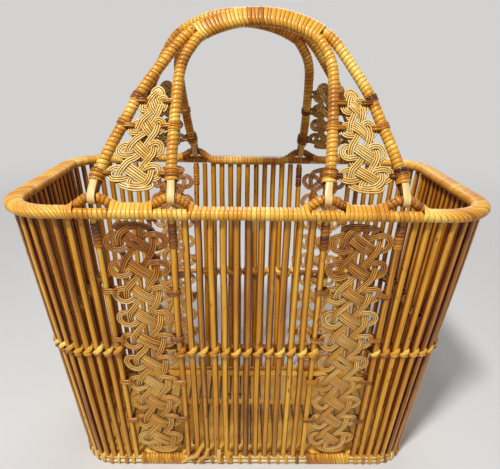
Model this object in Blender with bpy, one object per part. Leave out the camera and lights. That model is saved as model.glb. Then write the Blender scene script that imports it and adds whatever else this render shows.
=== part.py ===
"""Rattan basket with two swinging handles, in metres, +Z up.

The body is a tapering cage of round stakes, lashed at mid height to a hoop inside them, between a base of
two stacked hoops and a rim of two rods side by side. The inner rim rod rises into eight eyes. Each handle
is an arch of two rods whose four hooks turn on four of the eyes. Four flat plaits fill gaps in the cage and
two more fill each handle. The origin is on the surface it stands on, under the middle of the base.
"""

import math
from dataclasses import dataclass

import bmesh
import bpy
from mathutils import Matrix, Vector

# Plan of the body, on the line of the stakes, at the rim and at the upper base hoop
RIM_HALF_LENGTH = 0.1945
RIM_HALF_DEPTH = 0.0950
RIM_CORNER_RADIUS = 0.0400
BASE_HALF_LENGTH = 0.1685
BASE_HALF_DEPTH = 0.0720
BASE_CORNER_RADIUS = 0.0340

# Heights of the rim rods and of the hoop at mid height
RIM_HEIGHT = 0.2840
MID_RAIL_HEIGHT = 0.1490

# Rods, and the cane that is wound on them
STAKE_RADIUS = 0.0029
RIM_ROD_RADIUS = 0.0033
MID_RAIL_RADIUS = 0.0025
BASE_HOOP_RADIUS = 0.0025
HANDLE_ROD_RADIUS = 0.0037
CANE_THICKNESS = 0.0008
CANE_WIDTH = 0.0050
GAP = 0.0003

# Spacing of the stakes: a middle group, a gap for a plait, then evenly round to the middle of the end
MIDDLE_STAKES = 13
RIM_PITCH = 0.0100
BASE_PITCH = 0.0098
RIM_PLAIT_GAP = 0.0600
BASE_PLAIT_GAP = 0.0530
SIDE_STAKES = 4
CORNER_STAKES = 6
END_STAKES = 11

# Eyes of the inner rim rod: places along an eye, and its height there
EYE_RISE = 0.0110
EYE_FOOT = 0.0240
EYE_PLACE_SHARES = (0.21, 0.375, 0.54, 1.0)
EYE_RISE_SHARES = (1.0, 0.76, 0.42, 0.0)
EYE_MOUTH_SHARE = 0.64

# Handles
HANDLE_SWAY = 0.0080
CROWN_HEIGHT = 0.1610
CROWN_RADIUS = 0.0924
GRIP_HALF_ANGLE = math.radians(35)
OUTER_LEG_SHARES = (
    (0.508, 0.851), (0.571, 0.789), (0.629, 0.720), (0.763, 0.547),
    (0.858, 0.373), (0.933, 0.233), (0.983, 0.112),
)
INNER_LEG_SHARES = (
    (0.908, 0.804), (0.992, 0.739), (1.037, 0.665),
    (1.050, 0.560), (1.050, 0.373), (1.038, 0.186),
)

# Hooks at the feet of the handles: they turn on the eyes, with room there for the cane wound on the rod
HOOK_CLEARANCE = 0.0007
HOOK_BORE_RADIUS = RIM_ROD_RADIUS + HOOK_CLEARANCE
HOOK_THICKNESS = 0.0016
HOOK_WIDTH = 0.0060
HOOK_LIMB = 0.0200

# Flat plaits of round cane, three strands deep
PLAIT_THICKNESS = 0.0054
PLAIT_LOBE = 0.0030
PLAIT_LOBE_SHIFT_SHARE = 0.25
PLAIT_END_SHARE = 0.5
BODY_PLAIT_LOOPS = 10
HANDLE_PLAIT_LOOPS = 4
HANDLE_PLAIT_HEIGHT = 0.0920

# Floor of slats, tied across by three strips
FLOOR_SLATS = 27
SLAT_GAP = 0.0020
SLAT_THICKNESS = 0.0022
STRIP_THICKNESS = 0.0014
STRIP_SINK = 0.0004
STRIP_WIDTH = 0.0090
STRIP_PLACE_SHARES = (-0.93, 0.13, 0.93)

# Fineness of the round shapes
CORNER_STEPS = 5
GRIP_STEPS = 8
HOOK_STEPS = 8
STAKE_SIDES = 8
RIM_WRAP_ARC_POINTS = 5
BASE_WRAP_ARC_POINTS = 6
LOBE_STEPS = 3
FLAT_ANGLE = math.radians(1)

# Levels that follow from the sizes above
LOWER_HOOP_HEIGHT = BASE_HOOP_RADIUS + GAP + CANE_THICKNESS
UPPER_HOOP_HEIGHT = LOWER_HOOP_HEIGHT + 2 * BASE_HOOP_RADIUS + GAP
CAGE_HEIGHT = RIM_HEIGHT - UPPER_HOOP_HEIGHT
RIM_ROD_OFFSET = RIM_ROD_RADIUS + GAP / 2
EYE_FOOT_SLOPE = EYE_RISE * EYE_RISE_SHARES[2] / (EYE_FOOT * (1 - EYE_PLACE_SHARES[2]))
EYE_MOUTH_TWIST = math.atan2(EYE_FOOT_SLOPE * EYE_FOOT * (1 - EYE_MOUTH_SHARE), 2 * RIM_ROD_OFFSET)
RIM_WRAP_SPREAD = math.hypot(1, EYE_FOOT_SLOPE) / math.cos(EYE_MOUTH_TWIST / 2)
RIM_WRAP_REACH = (RIM_ROD_RADIUS + GAP + CANE_THICKNESS) * RIM_WRAP_SPREAD / math.cos(
    math.pi / 2 / (RIM_WRAP_ARC_POINTS - 1)
)
INNER_EYE = RIM_PITCH * (MIDDLE_STAKES - 1) / 2
OUTER_EYE = INNER_EYE + RIM_PLAIT_GAP
HINGE_DEPTH = RIM_HALF_DEPTH - RIM_ROD_OFFSET
HINGE_HEIGHT = RIM_HEIGHT + EYE_RISE
GRIP_RADIUS = HANDLE_ROD_RADIUS + GAP + CANE_THICKNESS
HANDLE_LEAN = math.asin((HINGE_DEPTH - GRIP_RADIUS - GAP) / CROWN_HEIGHT)
QUARTER_STAKES = SIDE_STAKES + CORNER_STAKES + (END_STAKES + 1) // 2


@dataclass(frozen=True)
class Finish:
    """Colour and roughness of one kind of rattan or cane."""

    color: tuple
    roughness: float


STAKE_FINISH = Finish((0.50, 0.23, 0.05), 0.45)
WRAP_FINISH = Finish((0.76, 0.50, 0.17), 0.38)
PLAIT_FINISH = Finish((0.62, 0.40, 0.16), 0.50)
PALE_PLAIT_FINISH = Finish((0.80, 0.62, 0.30), 0.50)
HOOK_FINISH = Finish((0.84, 0.72, 0.45), 0.55)
HOOP_FINISH = Finish((0.80, 0.60, 0.30), 0.50)
FLOOR_FINISH = Finish((0.84, 0.70, 0.42), 0.60)
RAIL_FINISH = Finish((0.35, 0.14, 0.03), 0.50)


@dataclass(frozen=True)
class StakeLine:
    """The line of one stake, from the upper base hoop to the rim, and the way it faces."""

    base: Vector
    rim: Vector
    outward: Vector

    def at(self, height):
        """Return the point of the line at a height."""
        share = (height - UPPER_HOOP_HEIGHT) / CAGE_HEIGHT
        return self.base.lerp(self.rim, share)

    def ends(self):
        """Return the foot and the top of the stake, which its tilt keeps clear of the hoop and the rim."""
        flare = self.rim - self.base
        clear = GAP + STAKE_RADIUS * math.hypot(flare.x, flare.y) / flare.z
        foot = self.at(UPPER_HOOP_HEIGHT + BASE_HOOP_RADIUS + clear)
        return foot, self.at(RIM_HEIGHT - RIM_WRAP_REACH - clear)


def clear_scene():
    """Remove everything that a new file starts with."""
    for obj in list(bpy.data.objects):
        bpy.data.objects.remove(obj, do_unlink=True)


def new_collection(name):
    """Return a new collection in the scene."""
    collection = bpy.data.collections.new(name)
    bpy.context.scene.collection.children.link(collection)
    return collection


def dress(obj, finish):
    """Give an object a material of its own."""
    material = bpy.data.materials.new(obj.name)
    material.use_nodes = True
    shader = material.node_tree.nodes["Principled BSDF"]
    shader.inputs["Base Color"].default_value = (*finish.color, 1)
    shader.inputs["Roughness"].default_value = finish.roughness
    shader.inputs["Metallic"].default_value = 0
    obj.data.materials.append(material)


def add_piece(name, data, finish, collection, parent=None):
    """Make an object of a mesh or a curve, in a collection and under a parent."""
    obj = bpy.data.objects.new(name, data)
    collection.objects.link(obj)
    obj.parent = parent
    dress(obj, finish)
    return obj


def tube_data(name, points, radius, cyclic=False, resolution=2):
    """Return a curve that is a round rod along the points."""
    curve = bpy.data.curves.new(name, "CURVE")
    curve.dimensions = "3D"
    curve.twist_mode = "Z_UP" if cyclic else "MINIMUM"
    curve.bevel_depth = radius
    curve.bevel_resolution = resolution
    curve.use_fill_caps = True
    spline = curve.splines.new("POLY")
    spline.points.add(len(points) - 1)
    for slot, point in zip(spline.points, points):
        slot.co = (*point, 1)
    spline.use_cyclic_u = cyclic
    return curve


def plate_data(name, outline, thickness):
    """Return a flat curve filled inside the outline and as thick as asked."""
    curve = bpy.data.curves.new(name, "CURVE")
    curve.dimensions = "2D"
    curve.fill_mode = "BOTH"
    curve.extrude = thickness / 2
    spline = curve.splines.new("POLY")
    spline.points.add(len(outline) - 1)
    for slot, (x, y) in zip(spline.points, outline):
        slot.co = (x, y, 0, 1)
    spline.use_cyclic_u = True
    return curve


def oval_ring(first, second, forward, radius, arc_points):
    """Return the points round two rods whose centres are first and second; its flats lie at the radius."""
    along = (second - first).normalized()
    across = forward.cross(along).normalized()
    reach = radius / math.cos(math.pi / 2 / (arc_points - 1))
    ring = []
    for centre, turn in ((second, -0.5), (first, 0.5)):
        for step in range(arc_points):
            angle = math.pi * (turn + step / (arc_points - 1))
            ring.append(centre + reach * (math.cos(angle) * along + math.sin(angle) * across))
    return ring


def widening(stations, index):
    """Return how much wider a wall is at a station, where the first rod slopes or the pair turns round it."""
    first, second, forward = stations[index]
    widest = 1.0
    for other_first, other_second, _ in stations[max(index - 1, 0):index + 2]:
        run = other_first - first
        if run.length > 0:
            twist = (second - first).angle(other_second - other_first)
            widest = max(widest, run.length / abs(run.dot(forward)) / math.cos(twist / 2))
    return widest


def bridge(mesh, first, second):
    """Add the faces between two rings of vertices."""
    for i in range(len(first)):
        j = (i + 1) % len(first)
        mesh.faces.new((first[i], first[j], second[j], second[i]))


def sleeve_data(name, stations, radius, arc_points):
    """Return a wall of cane round a pair of rods; a station is two centres and the way forward."""
    mesh = bmesh.new()
    walls = []
    for wall_radius in (radius + GAP, radius + GAP + CANE_THICKNESS):
        rings = []
        for index, station in enumerate(stations):
            ring = oval_ring(*station, wall_radius * widening(stations, index), arc_points)
            rings.append([mesh.verts.new(point) for point in ring])
        walls.append(rings)
    for rings in walls:
        for first, second in zip(rings, rings[1:]):
            bridge(mesh, first, second)
    for end in (0, -1):
        bridge(mesh, walls[0][end], walls[1][end])
    bmesh.ops.recalc_face_normals(mesh, faces=mesh.faces)
    data = bpy.data.meshes.new(name)
    mesh.to_mesh(data)
    mesh.free()
    return data


def ribbon_data(name, sections):
    """Return a solid strip through sections of four corners each."""
    mesh = bmesh.new()
    rings = [[mesh.verts.new(corner) for corner in section] for section in sections]
    for first, second in zip(rings, rings[1:]):
        bridge(mesh, first, second)
    for ring in (rings[0], rings[-1]):
        mesh.faces.new(ring)
    bmesh.ops.recalc_face_normals(mesh, faces=mesh.faces)
    data = bpy.data.meshes.new(name)
    mesh.to_mesh(data)
    mesh.free()
    return data


def plan_point(half_length, half_depth, corner_radius, travel):
    """Return a point of the plan, and its outward direction, at a distance from the middle of the front."""
    straight = half_length - corner_radius
    arc = corner_radius * math.pi / 2
    if travel <= straight:
        return Vector((travel, -half_depth, 0)), Vector((0, -1, 0))
    if travel <= straight + arc:
        angle = (travel - straight) / corner_radius
        outward = Vector((math.sin(angle), -math.cos(angle), 0))
        return Vector((straight, corner_radius - half_depth, 0)) + corner_radius * outward, outward
    rest = travel - straight - arc
    return Vector((half_length, corner_radius - half_depth + rest, 0)), Vector((1, 0, 0))


def quarter_length(half_length, half_depth, corner_radius):
    """Return the length of a quarter of the plan."""
    return half_length + half_depth + (math.pi / 2 - 2) * corner_radius


def mirrored(vector, side_x, side_y):
    """Return a vector of the front right quarter in another quarter."""
    return Vector((vector.x * side_x, -vector.y * side_y, vector.z))


def middle_line(number, side_y):
    """Return the line of a stake of the middle group; number 0 is in the middle."""
    return StakeLine(
        Vector((number * BASE_PITCH, side_y * BASE_HALF_DEPTH, UPPER_HOOP_HEIGHT)),
        Vector((number * RIM_PITCH, side_y * RIM_HALF_DEPTH, RIM_HEIGHT)),
        Vector((0, side_y, 0)),
    )


def quarter_line(number, side_x, side_y):
    """Return the line of a stake from the plait's far side, 0, to the middle of the end, the last."""
    ends = []
    outward = Vector()
    for sizes, start, height in (
        ((BASE_HALF_LENGTH, BASE_HALF_DEPTH, BASE_CORNER_RADIUS), base_flank(), UPPER_HOOP_HEIGHT),
        ((RIM_HALF_LENGTH, RIM_HALF_DEPTH, RIM_CORNER_RADIUS), OUTER_EYE, RIM_HEIGHT),
    ):
        pitch = (quarter_length(*sizes) - start) / (QUARTER_STAKES - 1)
        point, normal = plan_point(*sizes, start + number * pitch)
        point.z = height
        ends.append(mirrored(point, side_x, side_y))
        outward += mirrored(normal, side_x, side_y)
    return StakeLine(*ends, outward.normalized())


def base_flank():
    """Return how far from the middle, at the base, the stake on the plait's far side stands."""
    return BASE_PITCH * (MIDDLE_STAKES - 1) / 2 + BASE_PLAIT_GAP


def stake_groups():
    """Return each group of stakes by name, in order along the cage."""
    corner = SIDE_STAKES + CORNER_STAKES
    half_middle = MIDDLE_STAKES // 2
    groups = {}
    for face, side_y in (("front", -1), ("back", 1)):
        groups[f"stakes_{face}_middle"] = [middle_line(i, side_y) for i in range(-half_middle, half_middle + 1)]
        for side, side_x in (("left", -1), ("right", 1)):
            lines = [quarter_line(i, side_x, side_y) for i in range(corner)]
            groups[f"stakes_{face}_{side}"] = lines[:SIDE_STAKES]
            groups[f"stakes_{face}_{side}_corner"] = lines[SIDE_STAKES:]
    for side, side_x in (("left", -1), ("right", 1)):
        front = [quarter_line(i, side_x, -1) for i in range(corner, QUARTER_STAKES)]
        back = [quarter_line(i, side_x, 1) for i in range(corner, QUARTER_STAKES - 1)]
        groups[f"stakes_{side}_end"] = front + back[::-1]
    return groups


def add_stake(name, line, cutters):
    """Add one round stake as a guide that its group takes in."""
    foot, top = line.ends()
    bpy.ops.mesh.primitive_cylinder_add(vertices=STAKE_SIDES, radius=STAKE_RADIUS, depth=(top - foot).length)
    stake = bpy.context.object
    stake.name = name
    stake.location = (foot + top) / 2
    stake.rotation_euler = (top - foot).to_track_quat("Z", "Y").to_euler()
    for collection in list(stake.users_collection):
        collection.objects.unlink(stake)
    cutters.objects.link(stake)
    stake.hide_render = True
    stake.display_type = "WIRE"


def lashing_section(place, outward):
    """Return the corners of the lashing where it crosses a stake."""
    corners = []
    for depth, rise in ((0, -1), (1, -1), (1, 1), (0, 1)):
        reach = STAKE_RADIUS + CANE_THICKNESS * (2 * depth - 1)
        corners.append(place + outward * reach + Vector((0, 0, rise * CANE_WIDTH / 2)))
    return corners


def add_stake_group(name, lines, parts, cutters):
    """Add a group of stakes and the cane that lashes them, as one piece."""
    places = [line.at(MID_RAIL_HEIGHT) for line in lines]
    overhang = STAKE_RADIUS - CANE_THICKNESS
    places[0] = places[0] + (places[0] - places[1]).normalized() * overhang
    places[-1] = places[-1] + (places[-1] - places[-2]).normalized() * overhang
    sections = [lashing_section(place, line.outward) for place, line in zip(places, lines)]
    if lines[0].outward.angle(lines[-1].outward) < FLAT_ANGLE:
        sections = [sections[0], sections[-1]]
    group = add_piece(name, ribbon_data(name, sections), STAKE_FINISH, parts)
    guides = bpy.data.collections.new(f"{name}_guides")
    cutters.children.link(guides)
    for number, line in enumerate(lines):
        add_stake(f"{name}_guide_{number}", line, guides)
    union = group.modifiers.new("stakes", "BOOLEAN")
    union.operation = "UNION"
    union.operand_type = "COLLECTION"
    union.collection = guides


def add_mid_rail(parts):
    """Add the hoop that runs inside the stakes at mid height."""
    inset = STAKE_RADIUS + 2 * GAP + MID_RAIL_RADIUS
    numbers = range(SIDE_STAKES - 1, SIDE_STAKES + CORNER_STAKES + 1)
    points = []
    for side_x, side_y, order in ((1, -1, 1), (1, 1, -1), (-1, 1, 1), (-1, -1, -1)):
        for number in list(numbers)[::order]:
            line = quarter_line(number, side_x, side_y)
            points.append(line.at(MID_RAIL_HEIGHT) - line.outward * inset)
    data = tube_data("mid_rail", points, MID_RAIL_RADIUS, cyclic=True, resolution=1)
    add_piece("mid_rail", data, RAIL_FINISH, parts)


def corner_stations(half_length, half_depth, corner_radius, side_x, side_y):
    """Return points and outward directions round one corner, from its front or back side to its end."""
    start = half_length - corner_radius
    stations = []
    for step in range(CORNER_STEPS + 1):
        travel = start + corner_radius * math.pi / 2 * step / CORNER_STEPS
        point, outward = plan_point(half_length, half_depth, corner_radius, travel)
        stations.append((mirrored(point, side_x, side_y), mirrored(outward, side_x, side_y)))
    return stations


def eye_rise(x):
    """Return how far the inner rim rod stands above the rim at a place along a side."""
    share = min(abs(abs(x) - eye) for eye in (INNER_EYE, OUTER_EYE)) / EYE_FOOT
    places = (0,) + EYE_PLACE_SHARES
    rises = EYE_RISE_SHARES[:1] + EYE_RISE_SHARES
    for i in range(len(places) - 1):
        if share <= places[i + 1]:
            part = (share - places[i]) / (places[i + 1] - places[i])
            return EYE_RISE * (rises[i] + part * (rises[i + 1] - rises[i]))
    return 0.0


def eye_places():
    """Return the places along a side, left to right, where the inner rim rod bends."""
    places = []
    for eye in (-OUTER_EYE, -INNER_EYE, INNER_EYE, OUTER_EYE):
        places += [eye - share * EYE_FOOT for share in EYE_PLACE_SHARES[::-1]]
        places += [eye + share * EYE_FOOT for share in EYE_PLACE_SHARES]
    return places


def rim_centres(point, outward, rise=0.0):
    """Return the centres of the inner and outer rim rods at a point of the stake line."""
    level = Vector((0, 0, RIM_HEIGHT))
    inner = point + level - outward * RIM_ROD_OFFSET + Vector((0, 0, rise))
    return inner, point + level + outward * RIM_ROD_OFFSET


def side_station(x, side_y):
    """Return the centres of both rim rods, and the way forward, at a place along the front or back."""
    centres = rim_centres(Vector((x, side_y * RIM_HALF_DEPTH, 0)), Vector((0, side_y, 0)), eye_rise(x))
    return (*centres, Vector((1, 0, 0)))


def add_rim_rods(parts):
    """Add the outer rim rod, which runs straight, and the inner one, which rises into the eyes."""
    inner, outer = [], []
    for side_x, side_y, order in ((1, -1, 1), (1, 1, -1), (-1, 1, 1), (-1, -1, -1)):
        plan = corner_stations(RIM_HALF_LENGTH, RIM_HALF_DEPTH, RIM_CORNER_RADIUS, side_x, side_y)
        for point, outward in plan[::order]:
            centres = rim_centres(point, outward)
            inner.append(centres[0])
            outer.append(centres[1])
        if side_x == side_y:
            inner += [side_station(x, side_y)[0] for x in eye_places()[::-side_x]]
    for name, points in (("rim_inner_rod", inner), ("rim_outer_rod", outer)):
        add_piece(name, tube_data(name, points, RIM_ROD_RADIUS, cyclic=True), STAKE_FINISH, parts)


def end_wrap_stations(side_x):
    """Return the stations of the cane from the last front eye round the end to the last back eye."""
    mouth = OUTER_EYE + EYE_MOUTH_SHARE * EYE_FOOT
    halves = []
    for side_y in (-1, 1):
        half = [side_station(side_x * x, side_y) for x in (mouth, OUTER_EYE + EYE_FOOT)]
        half = [(inner, outer, forward * side_x) for inner, outer, forward in half]
        plan = corner_stations(RIM_HALF_LENGTH, RIM_HALF_DEPTH, RIM_CORNER_RADIUS, side_x, side_y)
        for point, outward in plan:
            forward = Vector((0, 0, 1)).cross(outward) * (-side_x * side_y)
            half.append((*rim_centres(point, outward), forward))
        halves.append(half)
    back = [(inner, outer, -forward) for inner, outer, forward in halves[1][::-1]]
    return halves[0] + back


def add_rim_wraps(parts):
    """Add the cane that binds both rim rods together between the eyes and round the ends."""
    mouth = EYE_MOUTH_SHARE * EYE_FOOT
    spans = {
        "middle": (-INNER_EYE + mouth, -INNER_EYE + EYE_FOOT, INNER_EYE - EYE_FOOT, INNER_EYE - mouth),
        "left": (-OUTER_EYE + mouth, -OUTER_EYE + EYE_FOOT, -INNER_EYE - EYE_FOOT, -INNER_EYE - mouth),
        "right": (INNER_EYE + mouth, INNER_EYE + EYE_FOOT, OUTER_EYE - EYE_FOOT, OUTER_EYE - mouth),
    }
    stations = {}
    for face, side_y in (("front", -1), ("back", 1)):
        for place, span in spans.items():
            stations[f"rim_wrap_{face}_{place}"] = [side_station(x, side_y) for x in span]
    for side, side_x in (("left", -1), ("right", 1)):
        stations[f"rim_wrap_{side}_end"] = end_wrap_stations(side_x)
    for name, listed in stations.items():
        data = sleeve_data(name, listed, RIM_ROD_RADIUS, RIM_WRAP_ARC_POINTS)
        add_piece(name, data, WRAP_FINISH, parts)


def add_base(parts):
    """Add the two stacked base hoops and the cane wound on them under each plait, which it stands on."""
    for name, height in (("base_lower_hoop", LOWER_HOOP_HEIGHT), ("base_upper_hoop", UPPER_HOOP_HEIGHT)):
        points = []
        for side_x, side_y, order in ((1, -1, 1), (1, 1, -1), (-1, 1, 1), (-1, -1, -1)):
            plan = corner_stations(BASE_HALF_LENGTH, BASE_HALF_DEPTH, BASE_CORNER_RADIUS, side_x, side_y)
            points += [point + Vector((0, 0, height)) for point, _ in plan[::order]]
        add_piece(name, tube_data(name, points, BASE_HOOP_RADIUS, cyclic=True), HOOP_FINISH, parts)
    margin = STAKE_RADIUS + CANE_THICKNESS
    near = base_flank() - BASE_PLAIT_GAP + margin
    far = base_flank() - margin
    for face, side_y in (("front", -1), ("back", 1)):
        for side, side_x in (("left", -1), ("right", 1)):
            stations = []
            for x in (near, far):
                foot = Vector((side_x * x, side_y * BASE_HALF_DEPTH, 0))
                lower = foot + Vector((0, 0, LOWER_HOOP_HEIGHT))
                stations.append((lower, foot + Vector((0, 0, UPPER_HOOP_HEIGHT)), Vector((1, 0, 0))))
            name = f"base_wrap_{face}_{side}"
            data = sleeve_data(name, stations, BASE_HOOP_RADIUS, BASE_WRAP_ARC_POINTS)
            add_piece(name, data, WRAP_FINISH, parts)


def floor_reach(x):
    """Return how far front and back the floor reaches at a distance from the middle of the basket."""
    inset = BASE_HOOP_RADIUS + CANE_THICKNESS + 2 * GAP
    radius = BASE_CORNER_RADIUS - inset
    into_corner = abs(x) - (BASE_HALF_LENGTH - BASE_CORNER_RADIUS)
    if into_corner <= 0:
        return BASE_HALF_DEPTH - inset
    return BASE_HALF_DEPTH - BASE_CORNER_RADIUS + math.sqrt(max(radius**2 - into_corner**2, 0))


def add_block(name, low, high, collection):
    """Add a plain block between two corners."""
    bpy.ops.mesh.primitive_cube_add(size=1, location=(low + high) / 2)
    block = bpy.context.object
    block.name = name
    block.scale = high - low
    for owner in list(block.users_collection):
        owner.objects.unlink(block)
    collection.objects.link(block)
    return block


def add_floor(parts, cutters):
    """Add the floor: slats from front to back, joined by strips laid across them."""
    half_floor = BASE_HALF_LENGTH - BASE_HOOP_RADIUS - GAP
    pitch = (2 * half_floor + SLAT_GAP) / FLOOR_SLATS
    bottom = (LOWER_HOOP_HEIGHT + UPPER_HOOP_HEIGHT - SLAT_THICKNESS) / 2
    top = bottom + SLAT_THICKNESS
    guides = bpy.data.collections.new("floor_guides")
    cutters.children.link(guides)
    for number in range(FLOOR_SLATS):
        left = -half_floor + number * pitch
        right = left + pitch - SLAT_GAP
        reach = floor_reach(max(abs(left), abs(right)))
        slat = add_block(
            f"slat_guide_{number}", Vector((left, -reach, bottom)), Vector((right, reach, top)), guides
        )
        slat.hide_render = True
        slat.display_type = "WIRE"
    strips = []
    for number, share in enumerate(STRIP_PLACE_SHARES):
        centre = share * (BASE_HALF_DEPTH - BASE_HOOP_RADIUS - STRIP_WIDTH / 2)
        reach = half_floor
        while floor_reach(reach) < abs(centre) + STRIP_WIDTH / 2 + SLAT_GAP:
            reach -= pitch
        low = Vector((-reach, centre - STRIP_WIDTH / 2, top - STRIP_SINK))
        high = Vector((reach, centre + STRIP_WIDTH / 2, top - STRIP_SINK + STRIP_THICKNESS))
        strips.append(add_block("floor" if number == 0 else f"strip_guide_{number}", low, high, parts))
    floor = strips[0]
    dress(floor, FLOOR_FINISH)
    for strip in strips[1:]:
        parts.objects.unlink(strip)
        guides.objects.link(strip)
        strip.hide_render = True
        strip.display_type = "WIRE"
    union = floor.modifiers.new("slats", "BOOLEAN")
    union.operation = "UNION"
    union.operand_type = "COLLECTION"
    union.collection = guides


def lobed_outline(low, high, loops, left_edge, right_edge):
    """Return the outline of a plait: loops along both edges, half a loop apart, and round ends."""
    pitch = (high - low) / loops
    steps = loops * LOBE_STEPS

    def inset(height, shift):
        """Return how far the edge lies inside the tips of its loops."""
        return PLAIT_LOBE * (1 - abs(math.cos(math.pi * ((height - low) / pitch + shift))))

    right, left = [], []
    for step in range(steps + 1):
        height = low + (high - low) * step / steps
        ends = min(1, 2 * max(0, min(height - low, high - height)) / pitch)
        round_end = max(PLAIT_END_SHARE, math.sqrt(1 - (1 - ends) ** 2))
        near = left_edge(height) + inset(height, -PLAIT_LOBE_SHIFT_SHARE)
        far = right_edge(height) - inset(height, PLAIT_LOBE_SHIFT_SHARE)
        middle = (near + far) / 2
        right.append((middle + (far - middle) * round_end, height))
        left.append((middle + (near - middle) * round_end, height))
    return right + left[::-1]


def add_body_plaits(parts):
    """Add the four plaits that stand in the gaps of the cage, front and back."""
    slope = Vector((0, RIM_HALF_DEPTH - BASE_HALF_DEPTH, CAGE_HEIGHT))
    tilt = math.atan2(slope.y, slope.z)
    low = (BASE_HOOP_RADIUS + CANE_THICKNESS + 2 * GAP + PLAIT_THICKNESS / 2 * math.tan(tilt)) / math.cos(tilt)
    high = (CAGE_HEIGHT - RIM_WRAP_REACH - GAP) / math.cos(tilt) - PLAIT_THICKNESS / 2 * math.tan(tilt)
    flank = STAKE_RADIUS + GAP

    def between(at_base, at_rim, height):
        """Return a place along the side, at a height up the face."""
        return at_base + (at_rim - at_base) * height / slope.length

    def near_edge(height):
        return between(base_flank() - BASE_PLAIT_GAP, INNER_EYE, height) + flank

    def far_edge(height):
        return between(base_flank(), OUTER_EYE, height) - flank

    outlines = {
        -1: lobed_outline(low, high, BODY_PLAIT_LOOPS, lambda h: -far_edge(h), lambda h: -near_edge(h)),
        1: lobed_outline(low, high, BODY_PLAIT_LOOPS, near_edge, far_edge),
    }
    foot = Matrix.Translation((0, -BASE_HALF_DEPTH, UPPER_HOOP_HEIGHT))
    stand = foot @ Matrix.Rotation(math.pi / 2 + tilt, 4, "X")
    for face, side_y in (("front", -1), ("back", 1)):
        for side_x, outline in outlines.items():
            name = f"plait_{face}_{turned_side(side_x, side_y)}"
            plait = add_piece(name, plate_data(name, outline, PLAIT_THICKNESS), PLAIT_FINISH, parts)
            plait.matrix_world = face_turn(side_y) @ stand


def face_turn(side_y):
    """Return the half turn that takes a piece made for the front to the back, or none for the front."""
    return Matrix.Rotation(0 if side_y < 0 else math.pi, 4, "Z")


def turned_side(side_x, side_y):
    """Return the side, left being -X, on which a piece made for the front stands after its face's turn."""
    return "left" if side_x * side_y > 0 else "right"


def crown_point(radius, angle):
    """Return a point of the handle's crown, in the plane of the handle."""
    rise = CROWN_HEIGHT - CROWN_RADIUS
    return Vector((radius * math.sin(angle), 0, rise + radius * math.cos(angle)))


def half_arch(radius, foot, leg_shares):
    """Return one side of an arch, from the edge of the grip to the end of the leg."""
    leg = [crown_point(radius, GRIP_HALF_ANGLE)]
    leg += [Vector((foot * across, 0, CROWN_HEIGHT * up)) for across, up in leg_shares]
    leg.append(Vector((foot, 0, HOOK_BORE_RADIUS + GAP)))
    return leg


def swayed(point):
    """Return a point of the handle moved sideways with its height."""
    return point + Vector((HANDLE_SWAY * point.z / CROWN_HEIGHT, 0, 0))


def full_arch(radius, foot, leg_shares):
    """Return a whole arch from the left foot over the crown to the right foot."""
    right = half_arch(radius, foot, leg_shares)
    left = [Vector((-point.x, 0, point.z)) for point in right[::-1]]
    angles = [GRIP_HALF_ANGLE * (2 * step / GRIP_STEPS - 1) for step in range(1, GRIP_STEPS)]
    return [swayed(point) for point in left + [crown_point(radius, angle) for angle in angles] + right]


def leg_edge(foot, radius, leg_shares, side_x, toward):
    """Return a function of height for the edge of the space beside a leg."""
    leg = [swayed(Vector((side_x * p.x, 0, p.z))) for p in half_arch(radius, foot, leg_shares)[::-1]]
    leg.insert(0, Vector((side_x * foot, 0, 0)))
    clear = HANDLE_ROD_RADIUS + GAP

    def edge(height):
        for low, high in zip(leg, leg[1:]):
            if height <= high.z:
                run = (high.x - low.x) / (high.z - low.z)
                return low.x + run * (height - low.z) + toward * clear * math.hypot(1, run)
        return leg[-1].x

    return edge


def hook_outline():
    """Return the side view of a hook: a strip bent under the eye, with both limbs up against the leg."""
    arc = [math.pi * step / HOOK_STEPS for step in range(HOOK_STEPS + 1)]
    walls = []
    for depth in (HOOK_THICKNESS, 0):
        radius = HOOK_BORE_RADIUS + depth
        limb = HANDLE_ROD_RADIUS + GAP + depth
        wall = [(limb, HOOK_LIMB), (limb, HOOK_BORE_RADIUS)]
        wall += [(radius * math.cos(angle), -radius * math.sin(angle)) for angle in arc]
        walls.append(wall + [(-limb, HOOK_BORE_RADIUS), (-limb, HOOK_LIMB)])
    return walls[0] + walls[1][::-1]


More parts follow.
